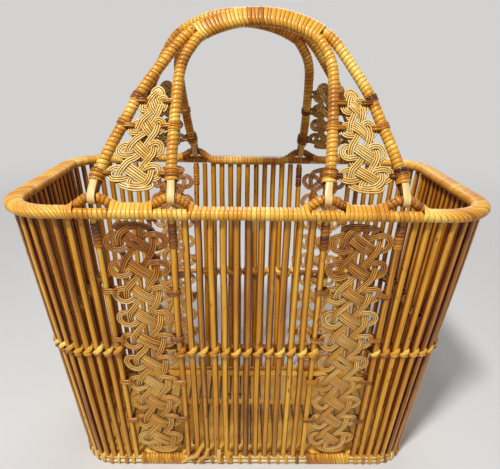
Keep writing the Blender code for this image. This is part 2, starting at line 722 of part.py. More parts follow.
def add_handle(face, side_y, parts):
    """Add one handle, leaning in over the mouth, under an empty on its hinge."""
    hinge = bpy.data.objects.new(f"{face}_handle_hinge", None)
    parts.objects.link(hinge)
    lean = Matrix.Translation((0, -HINGE_DEPTH, HINGE_HEIGHT)) @ Matrix.Rotation(-HANDLE_LEAN, 4, "X")
    hinge.matrix_world = face_turn(side_y) @ lean
    inner_radius = CROWN_RADIUS - 2 * HANDLE_ROD_RADIUS - GAP
    arches = {
        "outer": (CROWN_RADIUS, OUTER_EYE, OUTER_LEG_SHARES),
        "inner": (inner_radius, INNER_EYE, INNER_LEG_SHARES),
    }
    for place, arch in arches.items():
        name = f"{face}_handle_{place}_rod"
        add_piece(name, tube_data(name, full_arch(*arch), HANDLE_ROD_RADIUS), STAKE_FINISH, parts, hinge)
    stations = []
    for step in range(GRIP_STEPS + 1):
        angle = GRIP_HALF_ANGLE * (2 * step / GRIP_STEPS - 1)
        centres = [swayed(crown_point(radius, angle)) for radius in (inner_radius, CROWN_RADIUS)]
        stations.append((*centres, Vector((math.cos(angle), 0, -math.sin(angle)))))
    name = f"{face}_handle_grip_wrap"
    data = sleeve_data(name, stations, HANDLE_ROD_RADIUS, RIM_WRAP_ARC_POINTS)
    add_piece(name, data, WRAP_FINISH, parts, hinge)
    for side_x in (-1, 1):
        side = turned_side(side_x, side_y)
        for place, eye in (("outer", OUTER_EYE), ("inner", INNER_EYE)):
            name = f"{face}_handle_{side}_{place}_hook"
            hook = add_piece(name, plate_data(name, hook_outline(), HOOK_WIDTH), HOOK_FINISH, parts, hinge)
            hook.matrix_local = Matrix.Translation((side_x * eye, 0, 0)) @ Matrix(
                ((0, 0, 1, 0), (1, 0, 0, 0), (0, 1, 0, 0), (0, 0, 0, 1))
            )
        inner_edge = leg_edge(INNER_EYE, inner_radius, INNER_LEG_SHARES, side_x, side_x)
        outer_edge = leg_edge(OUTER_EYE, CROWN_RADIUS, OUTER_LEG_SHARES, side_x, -side_x)
        edges = (inner_edge, outer_edge) if side_x > 0 else (outer_edge, inner_edge)
        outline = lobed_outline(HOOK_BORE_RADIUS, HANDLE_PLAIT_HEIGHT, HANDLE_PLAIT_LOOPS, *edges)
        name = f"{face}_handle_{side}_plait"
        plait = add_piece(name, plate_data(name, outline, PLAIT_THICKNESS), PALE_PLAIT_FINISH, parts, hinge)
        plait.matrix_local = Matrix.Rotation(math.pi / 2, 4, "X")


def main():
    """Build the basket."""
    clear_scene()
    parts = new_collection("rattan_basket")
    cutters = new_collection("guides")
    for name, lines in stake_groups().items():
        add_stake_group(name, lines, parts, cutters)
    add_mid_rail(parts)
    add_rim_rods(parts)
    add_rim_wraps(parts)
    add_base(parts)
    add_floor(parts, cutters)
    add_body_plaits(parts)
    add_handle("front", -1, parts)
    add_handle("back", 1, parts)


main()
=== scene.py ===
"""Looks of the rattan basket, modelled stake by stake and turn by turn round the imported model.

Lengths are in metres, +Z is up, the front faces -Y, and left is -X. Every rod, turn of cane and plaited
strand stands where the frame has its solid.
"""

import logging
import math
import zlib
from dataclasses import dataclass, field, replace
from enum import Enum

import bmesh
import bpy
import numpy as np
from mathutils import Matrix, Vector


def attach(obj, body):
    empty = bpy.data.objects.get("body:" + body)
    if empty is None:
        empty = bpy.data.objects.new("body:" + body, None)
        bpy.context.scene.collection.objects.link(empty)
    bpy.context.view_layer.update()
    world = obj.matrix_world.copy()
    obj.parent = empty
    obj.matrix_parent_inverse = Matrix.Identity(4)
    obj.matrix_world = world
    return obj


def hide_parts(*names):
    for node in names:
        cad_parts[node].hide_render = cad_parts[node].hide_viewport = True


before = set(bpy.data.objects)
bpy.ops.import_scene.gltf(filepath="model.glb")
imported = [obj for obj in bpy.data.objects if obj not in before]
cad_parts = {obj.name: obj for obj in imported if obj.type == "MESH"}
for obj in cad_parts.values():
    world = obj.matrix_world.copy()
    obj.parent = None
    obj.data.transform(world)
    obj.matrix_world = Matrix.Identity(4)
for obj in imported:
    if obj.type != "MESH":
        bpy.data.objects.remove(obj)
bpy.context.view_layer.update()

log = logging.getLogger("basket")

Array = np.ndarray
Mesh = bpy.types.Object

# A cross-section of a strip of cane: places across it, and the height of its crown there, as shares
STRIP_PLACE_SHARES = np.array([-0.5, -0.41, -0.22, 0.0, 0.22, 0.41, 0.5])
STRIP_CROWN_SHARES = np.array([0.0, 0.60, 0.92, 1.0, 0.92, 0.60, 0.0])
STRIP_WALL = 0.0004
TURN_STEP_SHARE = 0.16
WELD = 0.000002
ROUND_ANGLE = math.radians(55)


class Face(Enum):
    """A long side of the basket; the value is its sign along Y."""

    FRONT = -1
    BACK = 1


class Side(Enum):
    """An end of the basket; the value is its sign along X."""

    LEFT = -1
    RIGHT = 1


class Body(Enum):
    """The moving bodies of the frame."""

    BASKET = "basket_body"
    FRONT_HANDLE = "front_handle"
    BACK_HANDLE = "back_handle"


class Slot(Enum):
    """The record's material slots."""

    STAKES = "stakes"
    WRAPS = "wraps"
    BODY_PLAITS = "body_plaits"
    HANDLE_PLAITS = "handle_plaits"
    HOOKS = "hooks"
    BASE_HOOPS = "base_hoops"
    FLOOR = "floor"
    MID_RAIL = "mid_rail"


def seeded(name: str) -> np.random.Generator:
    """Return the random numbers that belong to a name."""
    return np.random.default_rng(zlib.crc32(name.encode()))


def smooth_step(share: Array) -> Array:
    """Return a share eased at both of its ends."""
    share = np.clip(share, 0, 1)
    return share * share * (3 - 2 * share)


def unit(vectors: Array) -> Array:
    """Return vectors at length one."""
    return vectors / np.maximum(np.linalg.norm(vectors, axis=-1, keepdims=True), 1e-12)


def uneven(rng: np.random.Generator, places: Array, spacing: float) -> Array:
    """Return smooth random values.

    Args:
        rng: Random numbers to draw from.
        places: Where the values are wanted, all of them zero or more.
        spacing: Distance over which the values change.

    Returns:
        Values round zero, mostly between -1 and 1.
    """
    knots = rng.normal(0, 0.5, int(np.max(places) / spacing) + 3)
    low = np.floor(places / spacing).astype(int)
    part = smooth_step(places / spacing - low)
    return knots[low] * (1 - part) + knots[low + 1] * part


def smooth_line(points: Array, step: float, closed: bool = False) -> Array:
    """Return evenly spaced points on a smooth line through the given ones.

    Args:
        points: Points that the line runs through.
        step: Distance between the new points.
        closed: Whether the line runs back to its first point.

    Returns:
        The new points; a closed line ends on its first point.
    """
    points = np.asarray(points, float)
    pad = 3 if closed else 0
    if closed:
        points = np.vstack([points[-pad:], points, points[: pad + 1]])
    chords = np.maximum(np.linalg.norm(np.diff(points, axis=0), axis=1), 1e-9) ** 0.5
    knots = np.concatenate([[0], np.cumsum(chords)])
    slopes = np.diff(points, axis=0) / chords[:, None]
    tangents = np.vstack([slopes[:1], slopes[-1:]])
    weight = chords[:, None]
    inner = (slopes[:-1] * weight[1:] + slopes[1:] * weight[:-1]) / (weight[1:] + weight[:-1])
    tangents = np.vstack([slopes[:1], inner, slopes[-1:]])
    dense = []
    for i in range(pad, len(points) - 1 - pad):
        t = np.linspace(0, 1, 12, endpoint=False)[:, None]
        h = knots[i + 1] - knots[i]
        dense.append(
            (1 + 2 * t) * (1 - t) ** 2 * points[i]
            + t * (1 - t) ** 2 * h * tangents[i]
            + t * t * (3 - 2 * t) * points[i + 1]
            + t * t * (t - 1) * h * tangents[i + 1]
        )
    dense.append(points[len(points) - 1 - pad][None])
    dense = np.vstack(dense)
    return spaced(dense, step)


def spaced(points: Array, step: float) -> Array:
    """Return points on the same line, evenly spaced, about a step apart."""
    travel = np.concatenate([[0], np.cumsum(np.linalg.norm(np.diff(points, axis=0), axis=1))])
    count = max(2, round(travel[-1] / step))
    places = np.linspace(0, travel[-1], count + 1)
    return np.stack([np.interp(places, travel, points[:, axis]) for axis in range(3)], axis=1)


def oval(share: Array, half_gap: Array, reach: tuple[float, float]) -> tuple[Array, Array, Array, Array]:
    """Return points round one rod, or round two rods side by side.

    Args:
        share: Shares of the way round, from the far side of the second rod.
        half_gap: Half the distance between the rods' centres, nothing for one rod.
        reach: Distance from a rod's centre to the line, along the pair and across it.

    Returns:
        How far along and across each point lies, and the same two parts of its outward direction.
    """
    arc = math.pi * (reach[0] + reach[1]) / 4
    run = 2 * half_gap
    way = (share % 1) * (4 * arc + 2 * run)
    ends = (arc, arc + run, 3 * arc + run, 3 * arc + 2 * run)
    zones = [way < ends[0], way < ends[1], way < ends[2], way < ends[3]]
    quarter = math.pi / 2
    angle = np.select(
        zones,
        [way / arc * quarter, quarter + 0 * way, quarter + (way - ends[1]) / arc * quarter, 3 * quarter + 0 * way],
        3 * quarter + (way - ends[3]) / arc * quarter,
    )
    shift = np.select(
        zones, [half_gap + 0 * way, half_gap - (way - ends[0]), -half_gap + 0 * way, way - ends[2] - half_gap],
        half_gap,
    )
    normal_along = np.cos(angle) / reach[0]
    normal_across = np.sin(angle) / reach[1]
    size = np.hypot(normal_along, normal_across)
    return (
        shift + reach[0] * np.cos(angle), reach[1] * np.sin(angle), normal_along / size, normal_across / size,
    )


@dataclass
class Route:
    """The line of one rod, or of two side by side, that a rod or cane is laid along.

    Args:
        first: Points of the first rod's centre line.
        second: Points of the second rod's centre line, or of the first again.
        side: A direction across the line at each point, or one for all of them.
    """

    first: Array
    second: Array
    side: Array
    travel: Array = field(init=False)

    def __post_init__(self) -> None:
        """Lengthen the line straight on at both ends, and measure it."""
        margin = 0.02
        self.side = np.broadcast_to(self.side, self.first.shape)
        self.first, self.second = (
            np.vstack([
                line[0] + margin * unit(line[0] - line[1]), line, line[-1] + margin * unit(line[-1] - line[-2]),
            ])
            for line in (self.first, self.second)
        )
        self.side = np.vstack([self.side[:1], self.side, self.side[-1:]])
        middle = (self.first + self.second) / 2
        steps = np.linalg.norm(np.diff(middle, axis=0), axis=1)
        self.travel = np.concatenate([[0], np.cumsum(steps)]) - steps[0]

    @property
    def length(self) -> float:
        """Length of the line."""
        return float(self.travel[-2])

    def at(self, travel: Array) -> tuple[Array, Array, Array, Array]:
        """Return the cross-section at distances along the line.

        Args:
            travel: Distances from the start of the line.

        Returns:
            The middle, the directions along the pair and across it, and half the pair's gap.
        """
        middle = (self.first + self.second) / 2
        slope = unit(np.gradient(middle, self.travel, axis=0))
        parts = [
            np.stack([np.interp(travel, self.travel, line[:, axis]) for axis in range(3)], axis=1)
            for line in (middle, slope, self.side, self.second - self.first)
        ]
        forward = unit(parts[1])
        along = unit(parts[2] - forward * np.sum(parts[2] * forward, axis=1, keepdims=True))
        return parts[0], along, np.cross(forward, along), np.linalg.norm(parts[3], axis=1) / 2

    def turned(self, matrix: Matrix) -> "Route":
        """Return the route moved by a matrix."""
        turn = np.array(matrix)
        moved = [line[1:-1] @ turn[:3, :3].T + turn[:3, 3] for line in (self.first, self.second)]
        return Route(*moved, self.side[1:-1] @ turn[:3, :3].T)


def single(points: Array, side: Array) -> Route:
    """Return the route of a single rod."""
    return Route(points, points, side)


def pair(first: Array, second: Array) -> Route:
    """Return the route of two rods side by side."""
    return Route(first, second, second - first)


def deselect_all() -> None:
    """Deselect every object, the frame's own among them."""
    bpy.ops.object.select_all(action="DESELECT")


def new_grid(name: str, across: int, along: int) -> tuple[Mesh, Array, Array]:
    """Add a square grid that is to be laid on a surface.

    Args:
        name: Name of the new object.
        across: Number of faces across.
        along: Number of faces along.

    Returns:
        The grid, and each vertex's place across and along it, from nothing to one.
    """
    deselect_all()
    bpy.ops.mesh.primitive_grid_add(x_subdivisions=across, y_subdivisions=along, size=1)
    grid = bpy.context.object
    grid.name = name
    places = np.empty(len(grid.data.vertices) * 3)
    grid.data.vertices.foreach_get("co", places)
    places = places.reshape(-1, 3) + 0.5
    return grid, places[:, 0], places[:, 1]


def lay(piece: Mesh, places: Array, uv: Array, tone: Array, edge: Array | float = 0.0) -> None:
    """Give every vertex its place, its place on the flat strip and its tone.

    Args:
        piece: The mesh that is laid.
        places: A point for each vertex.
        uv: A place on the strip for each vertex, in metres.
        tone: How dark the cane is at each vertex, from nothing to one.
        edge: How far each vertex is from the crest, one at the edge, which sets the painted shade there.
    """
    mesh = piece.data
    mesh.vertices.foreach_set("co", places.ravel())
    corners = np.empty(len(mesh.loops), int)
    mesh.loops.foreach_get("vertex_index", corners)
    mesh.uv_layers[0].data.foreach_set("uv", uv[corners].ravel())
    for name, values in (("tone", tone), ("edge", edge)):
        attribute = mesh.attributes.new(name, "FLOAT", "POINT")
        attribute.data.foreach_set("value", np.broadcast_to(values, len(places)).astype(np.float32))
    mesh.update()


def weld(piece: Mesh, fill: bool = False) -> None:
    """Merge vertices that lie on each other, and close open ends.

    Args:
        piece: The mesh that is mended.
        fill: Whether open ends get a face.
    """
    deselect_all()
    piece.select_set(True)
    bpy.context.view_layer.objects.active = piece
    bpy.ops.object.mode_set(mode="EDIT")
    bpy.ops.mesh.select_all(action="SELECT")
    bpy.ops.mesh.remove_doubles(threshold=WELD)
    if fill:
        bpy.ops.mesh.fill_holes(sides=0)
    bpy.ops.object.mode_set(mode="OBJECT")


def joined(name: str, pieces: list[Mesh]) -> Mesh:
    """Join meshes into one and name it."""
    deselect_all()
    for piece in pieces:
        piece.select_set(True)
    bpy.context.view_layer.objects.active = pieces[0]
    if len(pieces) > 1:
        bpy.ops.object.join()
    pieces[0].name = name
    return pieces[0]


def thickened(piece: Mesh, wall: float = STRIP_WALL) -> Mesh:
    """Give a mesh of open strips its wall, on the inner side."""
    bpy.context.view_layer.objects.active = piece
    modifier = piece.modifiers.new("wall", "SOLIDIFY")
    modifier.thickness = wall
    modifier.offset = -1
    bpy.ops.object.modifier_apply(modifier=modifier.name)
    return piece


@dataclass(frozen=True)
class Turns:
    """How a strip of cane is wound.

    Args:
        pitch: Distance from one turn to the next.
        reach: Distance from the rod's centre to the underside of the cane, along the pair and across it.
        thickness: Height of the crown of the strip.
        seam: Share of the way round at which a turn steps on to the next.
        lean: How far the turns lean where the line is fully leaned.
        tone: How dark the cane is.
        cover: Share of the pitch that the strip covers.
        stray: Unevenness of the edges, as a share of the pitch.
        rings: Sections to a turn.
        even: Whether the turns run on evenly, as a screw's do, with no step.
    """

    pitch: float = 0.0046
    reach: tuple[float, float] = (0.0034, 0.0034)
    thickness: float = 0.0009
    seam: float = 0.40
    lean: float = 0.0
    tone: float = 0.25
    cover: float = 0.97
    stray: float = 0.10
    rings: int = 18
    even: bool = False


def wind(name: str, route: Route, turns: Turns, start: float = 0.0, end: float | None = None) -> Mesh:
    """Wind one unbroken strip of cane along a stretch of a route.

    Args:
        name: Name of the strip, which also sets its random numbers.
        route: The line that it is wound along.
        turns: How it is wound.
        start: Distance along the route where the cane starts.
        end: Distance along the route where it ends, or the route's end.

    Returns:
        The strip, still without its wall.
    """
    rng = seeded(name)
    end = route.length if end is None else end
    count = max(1, round((end - start) / turns.pitch))
    pitch = (end - start) / count
    strip, across, along = new_grid(name, len(STRIP_PLACE_SHARES) - 1, count * turns.rings)
    slot = np.rint((1 - across) * (len(STRIP_PLACE_SHARES) - 1)).astype(int)
    place = STRIP_PLACE_SHARES[slot]
    wound = along * count
    turn = np.minimum(np.floor(wound + 1e-9), count)
    part = np.clip(wound - turn, 0, 1)
    rise = smooth_step((part - 1 + TURN_STEP_SHARE) / TURN_STEP_SHARE) - 1 + smooth_step(part / TURN_STEP_SHARE)
    rise = 2 * part - 1 if turns.even else rise
    advance = np.clip(turn + 0.5 + rise / 2, 0.5, count - 0.5)
    sway = uneven(rng, np.concatenate([wound, wound + 1]), 0.3)
    low_edge, high_edge = sway[: len(wound)], sway[len(wound):]
    travel = start + pitch * (advance + place * turns.cover)
    travel += turns.stray * pitch * ((0.5 - place) * low_edge + (0.5 + place) * high_edge)
    fade = smooth_step((travel - start) / 0.02) * smooth_step((end - travel) / 0.02)
    travel += turns.lean * fade * np.sin(2 * math.pi * (part - 0.5))
    middle, side, other, half_gap = route.at(travel)
    x, y, out_x, out_y = oval(turns.seam + part, half_gap, turns.reach)
    height = turns.thickness * STRIP_CROWN_SHARES[slot]
    places = middle + side * (x + out_x * height)[:, None] + other * (y + out_y * height)[:, None]
    around = math.pi * sum(turns.reach) + 4 * float(np.mean(half_gap))
    uv = np.stack([place * pitch * turns.cover, wound * around + rng.uniform(0, 9)], axis=1)
    tone = turns.tone + 0.22 * uneven(rng, wound, 5.0) + 0.12 * uneven(rng, np.floor(wound), 1.0)
    # The edge mask paints shade in the grooves between turns, darker towards both edges of the strip
    lay(strip, places, uv, tone, 2 * np.abs(place))
    return strip


def rod(name: str, route: Route, radius: float, step: float = 0.004, sides: int = 12, **looks: float) -> Mesh:
    """Make a round rod along a route.

    Args:
        name: Name of the rod, which also sets its random numbers.
        route: The line of the rod; one that ends where it starts gives a hoop.
        radius: Radius of the rod.
        step: Distance between its sections.
        sides: Number of its sides.
        looks: Its tone and its uneven share of the radius.

    Returns:
        The closed rod.
    """
    rng = seeded(name)
    closed = np.linalg.norm(route.first[1] - route.first[-2]) < WELD
    piece, across, along = new_grid(name, sides, max(2, round(route.length / step)))
    travel = along * route.length
    middle, side, other, _ = route.at(travel)
    angle = 2 * math.pi * across
    swell = 1 + looks.get("uneven", 0.02) * uneven(rng, travel, 0.015) * (0 if closed else 1)
    reach = (radius * swell)[:, None]
    places = middle + reach * (side * np.cos(angle)[:, None] + other * np.sin(angle)[:, None])
    uv = np.stack([angle * radius, travel + rng.uniform(0, 9)], axis=1)
    if closed:
        places[along > 1 - 1e-6] = places[along < 1e-6]
    tone = looks.get("tone", 0.3) + 0.10 * uneven(rng, travel, 0.03)
    # The edge mask paints shade on the rod's flanks, none on its outer and inner crests
    lay(piece, places, uv, tone, 1 - np.abs(np.cos(angle)))
    weld(piece, fill=not closed)
    return piece


def hand_over(piece: Mesh, material: bpy.types.Material, body: Body, slot: Slot, *nodes: str) -> Mesh:
    """Finish a piece, put it on its body and hide the frame's nodes that it stands for.

    Args:
        piece: The finished mesh.
        material: Its finish.
        body: The body that it rides on.
        slot: The record's slot; not used.
        nodes: The frame's nodes that it stands for.

    Returns:
        The piece.
    """
    piece.data.materials.clear()
    piece.data.materials.append(material)
    deselect_all()
    piece.select_set(True)
    bpy.context.view_layer.objects.active = piece
    bpy.ops.object.shade_smooth_by_angle(angle=ROUND_ANGLE)
    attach(piece, body.value)
    if nodes:
        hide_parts(*nodes)
    log.info("%s: %d faces on %s", piece.name, len(piece.data.polygons), body.value)
    return piece


def linear(code: str) -> tuple[float, float, float, float]:
    """Return a colour, written as in a picture, in the shader's own terms."""
    shares = [int(code[i:i + 2], 16) / 255 for i in (1, 3, 5)]
    parts = [c / 12.92 if c <= 0.04045 else ((c + 0.055) / 1.055) ** 2.4 for c in shares]
    return (*parts, 1.0)


class NodeTable:
    """The nodes of one material."""

    def __init__(self, name: str) -> None:
        """Start a material that holds only its shader and output."""
        self.material = bpy.data.materials.new(name)
        self.material.use_nodes = True
        self.tree = self.material.node_tree
        self.shader = self.tree.nodes["Principled BSDF"]

    def node(self, kind: str, inputs: dict | None = None, **settings: object) -> bpy.types.Node:
        """Add a node.

        Args:
            kind: The node's type, without its first word.
            inputs: Values or sockets for its inputs.
            settings: Its other settings.

        Returns:
            The node.
        """
        made = self.tree.nodes.new(f"ShaderNode{kind}")
        for key, value in settings.items():
            setattr(made, key, value)
        for key, value in (inputs or {}).items():
            if isinstance(value, bpy.types.NodeSocket):
                self.tree.links.new(value, made.inputs[key])
            else:
                made.inputs[key].default_value = value
        return made

    def noise(self, source: bpy.types.NodeSocket, scales: tuple, detail: float = 2.0) -> bpy.types.NodeSocket:
        """Return a noise that is stretched by its scales along each axis."""
        mapping = self.node("Mapping", {"Vector": source, "Scale": scales})
        made = self.node("TexNoise", {"Vector": mapping.outputs[0], "Scale": 1.0, "Detail": detail})
        return made.outputs["Fac"]

    def maths(self, operation: str, *values: object) -> bpy.types.NodeSocket:
        """Return a sum of two or three numbers or sockets."""
        made = self.node("Math", dict(enumerate(values)), operation=operation)
        return made.outputs[0]

    def ramp(self, factor: bpy.types.NodeSocket, stops: tuple) -> bpy.types.NodeSocket:
        """Return a colour that changes with a factor, through stops of a place and a colour."""
        made = self.node("ValToRGB", {"Fac": factor})
        elements = made.color_ramp.elements
        while len(elements) < len(stops):
            elements.new(0.5)
        for element, (place, code) in zip(elements, stops):
            element.position = place
            element.color = linear(code)
        return made.outputs["Color"]

    def multiply(self, first: bpy.types.NodeSocket, second: bpy.types.NodeSocket) -> bpy.types.NodeSocket:
        """Return one colour times another."""
        made = self.node("Mix", {0: 1.0, 6: first, 7: second}, data_type="RGBA", blend_type="MULTIPLY")
        return made.outputs[2]

    def set(self, **inputs: object) -> None:
        """Set or link inputs of the shader, with _ for a space in a name."""
        for key, value in inputs.items():
            socket = self.shader.inputs[key.replace("_", " ")]
            if isinstance(value, bpy.types.NodeSocket):
                self.tree.links.new(value, socket)
            else:
                socket.default_value = value


@dataclass(frozen=True)
class Rattan:
    """The finish of one kind of rattan or cane.

    Args:
        name: Name of the material.
        colours: Stops of a place and a colour, from pale to dark.
        fibres: Fibres to a metre across and along the strip.
        fibre_depth: How much the fibres change the tone.
        patch_scale: Patches to a metre along the strip.
        patch_depth: How much the patches change the tone.
        painted_shade_shares: How far from the crest the painted shade at the edges begins and is full.
        painted_shade_colour: What the edges are multiplied by, as painted shade.
        roughness: Roughness where it is polished and where it is dull.
        bump: Height of the fibres.
        coat: Strength of the clear coat.
        specks: Whether it has the dark specks of a whole stem.
    """

    name: str
    colours: tuple
    fibres: tuple[float, float] = (1400.0, 25.0)
    fibre_depth: float = 0.35
    patch_scale: float = 14.0
    patch_depth: float = 0.5
    painted_shade_shares: tuple[float, float] = (0.80, 1.0)
    painted_shade_colour: str = "#8A5420"
    roughness: tuple[float, float] = (0.26, 0.46)
    bump: float = 0.00012
    coat: float = 0.2
    specks: bool = False

    def material(self) -> bpy.types.Material:
        """Return the finish as a material."""
        table = NodeTable(self.name)
        strip = table.node("UVMap", uv_map="UVMap").outputs[0]
        space = table.node("TexCoord").outputs["Object"]
        tone = table.node("Attribute", attribute_name="tone").outputs["Fac"]
        fibre = table.noise(strip, (*self.fibres, 1.0), 3.0)
        patch = table.noise(strip, (60.0, self.patch_scale, 1.0), 2.0)
        cloud = table.noise(space, (22.0, 22.0, 22.0), 1.0)
        factor = table.maths("MULTIPLY_ADD", fibre, self.fibre_depth, tone)
        factor = table.maths("MULTIPLY_ADD", patch, self.patch_depth, factor)
        factor = table.maths("MULTIPLY_ADD", cloud, self.patch_depth * 0.6, factor)
        factor = table.maths("SUBTRACT", factor, self.fibre_depth / 2 + self.patch_depth * 0.8)
        colour = table.ramp(factor, self.colours)
        # Painted shade: the colour darkens towards the edges of a strip and the flanks of a rod, where grooves and
        # gaps fall in shade
        edge = table.node("Attribute", attribute_name="edge").outputs["Fac"]
        begin, full = self.painted_shade_shares
        colour = table.multiply(colour, table.ramp(edge, ((begin, "#FFFFFF"), (full, self.painted_shade_colour))))
        if self.specks:
            fleck = table.noise(strip, (420.0, 110.0, 1.0), 1.0)
            colour = table.multiply(colour, table.ramp(fleck, ((0.66, "#FFFFFF"), (0.75, "#7A4820"))))
        low, high = self.roughness
        rough = table.node(
            "MapRange", {"Value": fibre, "From Min": 0.3, "From Max": 0.7, "To Min": low, "To Max": high}
        )
        bump = table.node("Bump", {"Height": fibre, "Distance": self.bump, "Strength": 0.6})
        table.set(Base_Color=colour, Roughness=rough.outputs[0], Normal=bump.outputs[0])
        table.set(Coat_Weight=self.coat, Coat_Roughness=0.25, Specular_IOR_Level=0.3)
        return table.material


GOLD_STOPS = (
    (0.0, "#F6CE62"), (0.22, "#E4A632"), (0.45, "#C68016"), (0.65, "#98560C"), (0.85, "#602D06"), (1.0, "#351804"),
)
STAKE_STOPS = (
    (0.0, "#F8C038"), (0.28, "#E09A16"), (0.55, "#B6720A"), (0.8, "#7A4406"), (1.0, "#442204"),
)
PLAIT_STOPS = (
    (0.0, "#FDD884"), (0.3, "#ECAA48"), (0.6, "#B86C18"), (1.0, "#5A2C0C"),
)
STRAW_STOPS = (
    (0.0, "#FCDE90"), (0.35, "#F0BA54"), (0.7, "#C88424"), (1.0, "#7A4A18"),
)
CREAM_STOPS = (
    (0.0, "#F2D998"), (0.4, "#E0B66A"), (0.8, "#B98238"), (1.0, "#7A4A18"),
)
SLAT_STOPS = (
    (0.0, "#FFD868"), (0.4, "#FCBC3A"), (0.8, "#D48A1C"), (1.0, "#6A3E12"),
)

# The edge shares and colours below paint shade: in the grooves between turns and on the flanks of stakes, rods,
# strands, hoops and hooks
STAKE_FINISH = Rattan(
    "stake_rattan", STAKE_STOPS, fibres=(480.0, 4.0), fibre_depth=1.1, patch_scale=9.0, patch_depth=0.6,
    painted_shade_shares=(0.06, 0.66), painted_shade_colour="#784008", roughness=(0.22, 0.44), bump=0.00014, coat=0.3, specks=True,
)
CANE_FINISH = Rattan("wound_cane", GOLD_STOPS)
PLAIT_FINISH = Rattan(
    "plait_strand", PLAIT_STOPS, fibres=(1500.0, 18.0), painted_shade_shares=(0.12, 0.52), painted_shade_colour="#3A1603",
)
STRAW_FINISH = Rattan(
    "straw_strand", STRAW_STOPS, fibres=(1500.0, 18.0), painted_shade_shares=(0.06, 0.60), painted_shade_colour="#54300E",
)
HOOK_FINISH = Rattan("hook_strip", CREAM_STOPS, fibres=(1600.0, 15.0), patch_depth=0.4)
HOOP_FINISH = Rattan(
    "base_hoop", CREAM_STOPS, fibres=(1200.0, 8.0), patch_depth=0.5, painted_shade_shares=(0.2, 0.95), painted_shade_colour="#5C340E",
)
SLAT_FINISH = Rattan("floor_slat", SLAT_STOPS, fibres=(700.0, 6.0), patch_depth=0.6, roughness=(0.4, 0.6))
RAIL_FINISH = Rattan("mid_rail", STAKE_STOPS, fibres=(900.0, 8.0))


@dataclass(frozen=True)
class Plan:
    """A rounded rectangle in plan."""

    half_length: float
    half_depth: float
    corner_radius: float

    @property
    def quarter(self) -> float:
        """Length of a quarter of the outline."""
        return self.half_length + self.half_depth + (math.pi / 2 - 2) * self.corner_radius

    def at(self, travel: float) -> tuple[Array, Array]:
        """Return the point and outward direction at a distance from the middle of the front, towards the right."""
        number, rest = divmod(travel, self.quarter)
        number = int(number) % 4
        rest = rest if number in (0, 2) else self.quarter - rest
        straight = self.half_length - self.corner_radius
        arc = self.corner_radius * math.pi / 2
        if rest <= straight:
            point, outward = (rest, -self.half_depth), (0.0, -1.0)
        elif rest <= straight + arc:
            angle = (rest - straight) / self.corner_radius
            outward = (math.sin(angle), -math.cos(angle))
            point = (
                straight + self.corner_radius * outward[0],
                self.corner_radius - self.half_depth + self.corner_radius * outward[1],
            )
        else:
            point = (self.half_length, self.corner_radius - self.half_depth + rest - straight - arc)
            outward = (1.0, 0.0)
        signs = np.array(((1, 1), (1, -1), (-1, -1), (-1, 1))[number])
        return np.append(point * signs, 0.0), np.append(outward * signs, 0.0)

    def stretch(self, start: float, end: float, step: float = 0.002) -> tuple[Array, Array]:
        """Return points and outward directions along a stretch of the outline."""
        places = [self.at(travel) for travel in np.linspace(start, end, max(2, round((end - start) / step)) + 1)]
        return np.array([point for point, _ in places]), np.array([outward for _, outward in places])


@dataclass(frozen=True)
class StakeLine:
    """The line of one stake, from the upper base hoop to the rim, and the way it faces."""

    base: Array
    rim: Array
    outward: Array

    def at(self, height: float) -> Array:
        """Return the point of the line at a height."""
        return self.base + (self.rim - self.base) * (height - self.base[2]) / (self.rim[2] - self.base[2])


